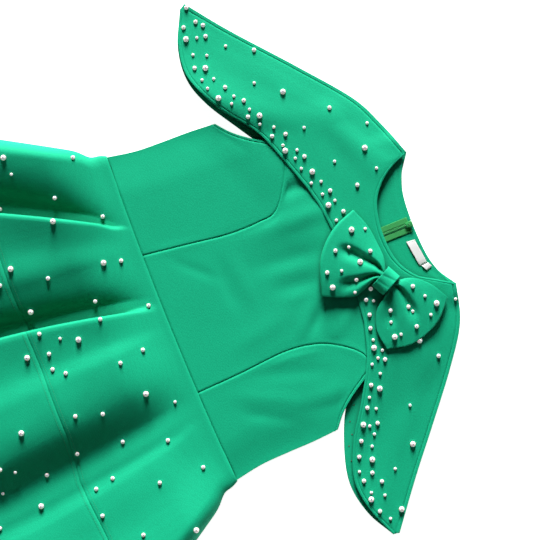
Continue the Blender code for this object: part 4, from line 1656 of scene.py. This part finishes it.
def stitchesAlong(bm, run):
    # run is a line of points on the cloth, in mm
    steps = np.linalg.norm(np.diff(run, axis=0), axis=1)
    length = np.concatenate(([0], np.cumsum(steps)))
    at = sewing["start"]
    while at + sewing["stitch"] < length[-1]:
        ends = []
        for stop in (at, at + sewing["stitch"]):
            ends.append(worldPoint(*[np.interp(stop, length, run[:, k]) for k in range(3)]))
        addCapsule(bm, *ends, sewing["radius"] * mm, 5)
        at += sewing["pitch"]


def topstitchTiers():
    for name, sign in (("skirtFrontUpper", -1), ("skirtFrontLower", 1)):
        bm = bmesh.new()
        tree = treeOf(name)
        run = np.array(skirtRow(dress["tierDrop"] + sign * skirt["stitchAway"]))
        for k, (x, y, z) in enumerate(run):
            hit = dropOnto(tree, x, y)
            run[k, 2] = hit.z / mm + sewing["aboveCloth"] if hit else z + dress["wall"]
        stitchesAlong(bm, run)
        makePiece(name + "Stitching", meshFrom(name + "Stitching", bm), finish["thread"])


def fixPearls():
    tree = treeOf("capeBackLeft", "capeBackRight")
    bm = bmesh.new()
    for px, py in sewing["knotChart"]:
        point = tree.ray_cast(camera["place"], rayThrough(px, py))[0]
        if point is None:
            print("no cloth under knot", px, py)
            continue
        lifted = point + Vector((0, 0, sewing["knotLift"] * mm))
        for angle in sewing["knotTurns"]:
            arm = Vector((math.cos(angle), math.sin(angle), 0)) * sewing["knotReach"] * mm
            addCapsule(bm, lifted - arm, lifted + arm, sewing["knotRadius"] * mm)
    makePiece("pearlFixings", meshFrom("pearlFixings", bm), finish["fixing"])


def sewLabels():
    bm = bmesh.new()
    tree = treeOf(*labels)
    count = sewing["labelStitches"]
    for _, corners, sewnAt in labels.values():
        for share, k in [(share, k) for share in sewnAt for k in range(count)]:
            pair = []
            for within in sewing["labelStitch"]:
                x, y = onLabel(corners, share, (k + within) / count)
                hit = dropOnto(tree, x, y) or worldPoint(x, y, onBack(x, y) + 1)
                pair.append(hit + Vector((0, 0, sewing["labelLift"] * mm)))
            addCapsule(bm, *pair, sewing["labelRadius"] * mm, 5)
    makePiece("labelStitching", meshFrom("labelStitching", bm), finish["thread"])


topstitchTiers()
fixPearls()
sewLabels()
declareCuts()
print("sewing made")


# Studio: white paper under the dress and two soft lights

studio = {
    "paperSize": 24.0,
    "paperDrop": 0.4,
    "fill": 0.035,
    "keyStrength": 7.9,
    "keySoftness": 22.0,
    "keyAside": -0.02,
    "keyDrop": 0.36,       # how steeply the light comes down, to 1 across
    "lowStrength": 0.25,
    "lowSoftness": 30.0,
    "lowUp": 0.95,
    "lowAside": 0.3,
    "lowDrop": 0.3,
}


def addSun(name, direction, strength, softness):
    data = bpy.data.lights.new(name, "SUN")
    data.energy = strength
    data.angle = math.radians(softness)
    lamp = bpy.data.objects.new(name, data)
    bpy.context.scene.collection.objects.link(lamp)
    lamp.rotation_mode = "QUATERNION"
    lamp.rotation_quaternion = direction.to_track_quat("-Z", "Y")


def makeStudio():
    bm = bmesh.new()
    bmesh.ops.create_grid(bm, x_segments=8, y_segments=8, size=studio["paperSize"] / 2)
    paper = bpy.data.objects.new("paper", meshFrom("paper", bm))
    paper.data.materials.append(finish["paper"])
    paper.location.z = -studio["paperDrop"] * mm
    bpy.context.scene.collection.objects.link(paper)
    up, right, down = camera["up"], camera["right"], Vector((0, 0, -1))
    key = -up - right * studio["keyAside"] + down * studio["keyDrop"]
    low = up * studio["lowUp"] + right * studio["lowAside"] + down * studio["lowDrop"]
    addSun("softKey", key, studio["keyStrength"], studio["keySoftness"])
    addSun("softLow", low, studio["lowStrength"], studio["lowSoftness"])
    world = bpy.data.worlds.new("studioAir")
    world.use_nodes = True
    sky = world.node_tree.nodes["Background"]
    sky.inputs["Color"].default_value = (1, 1, 1, 1)
    sky.inputs["Strength"].default_value = studio["fill"]
    bpy.context.scene.world = world
    bpy.context.scene.view_settings.view_transform = "Standard"


makeStudio()
print("studio made")
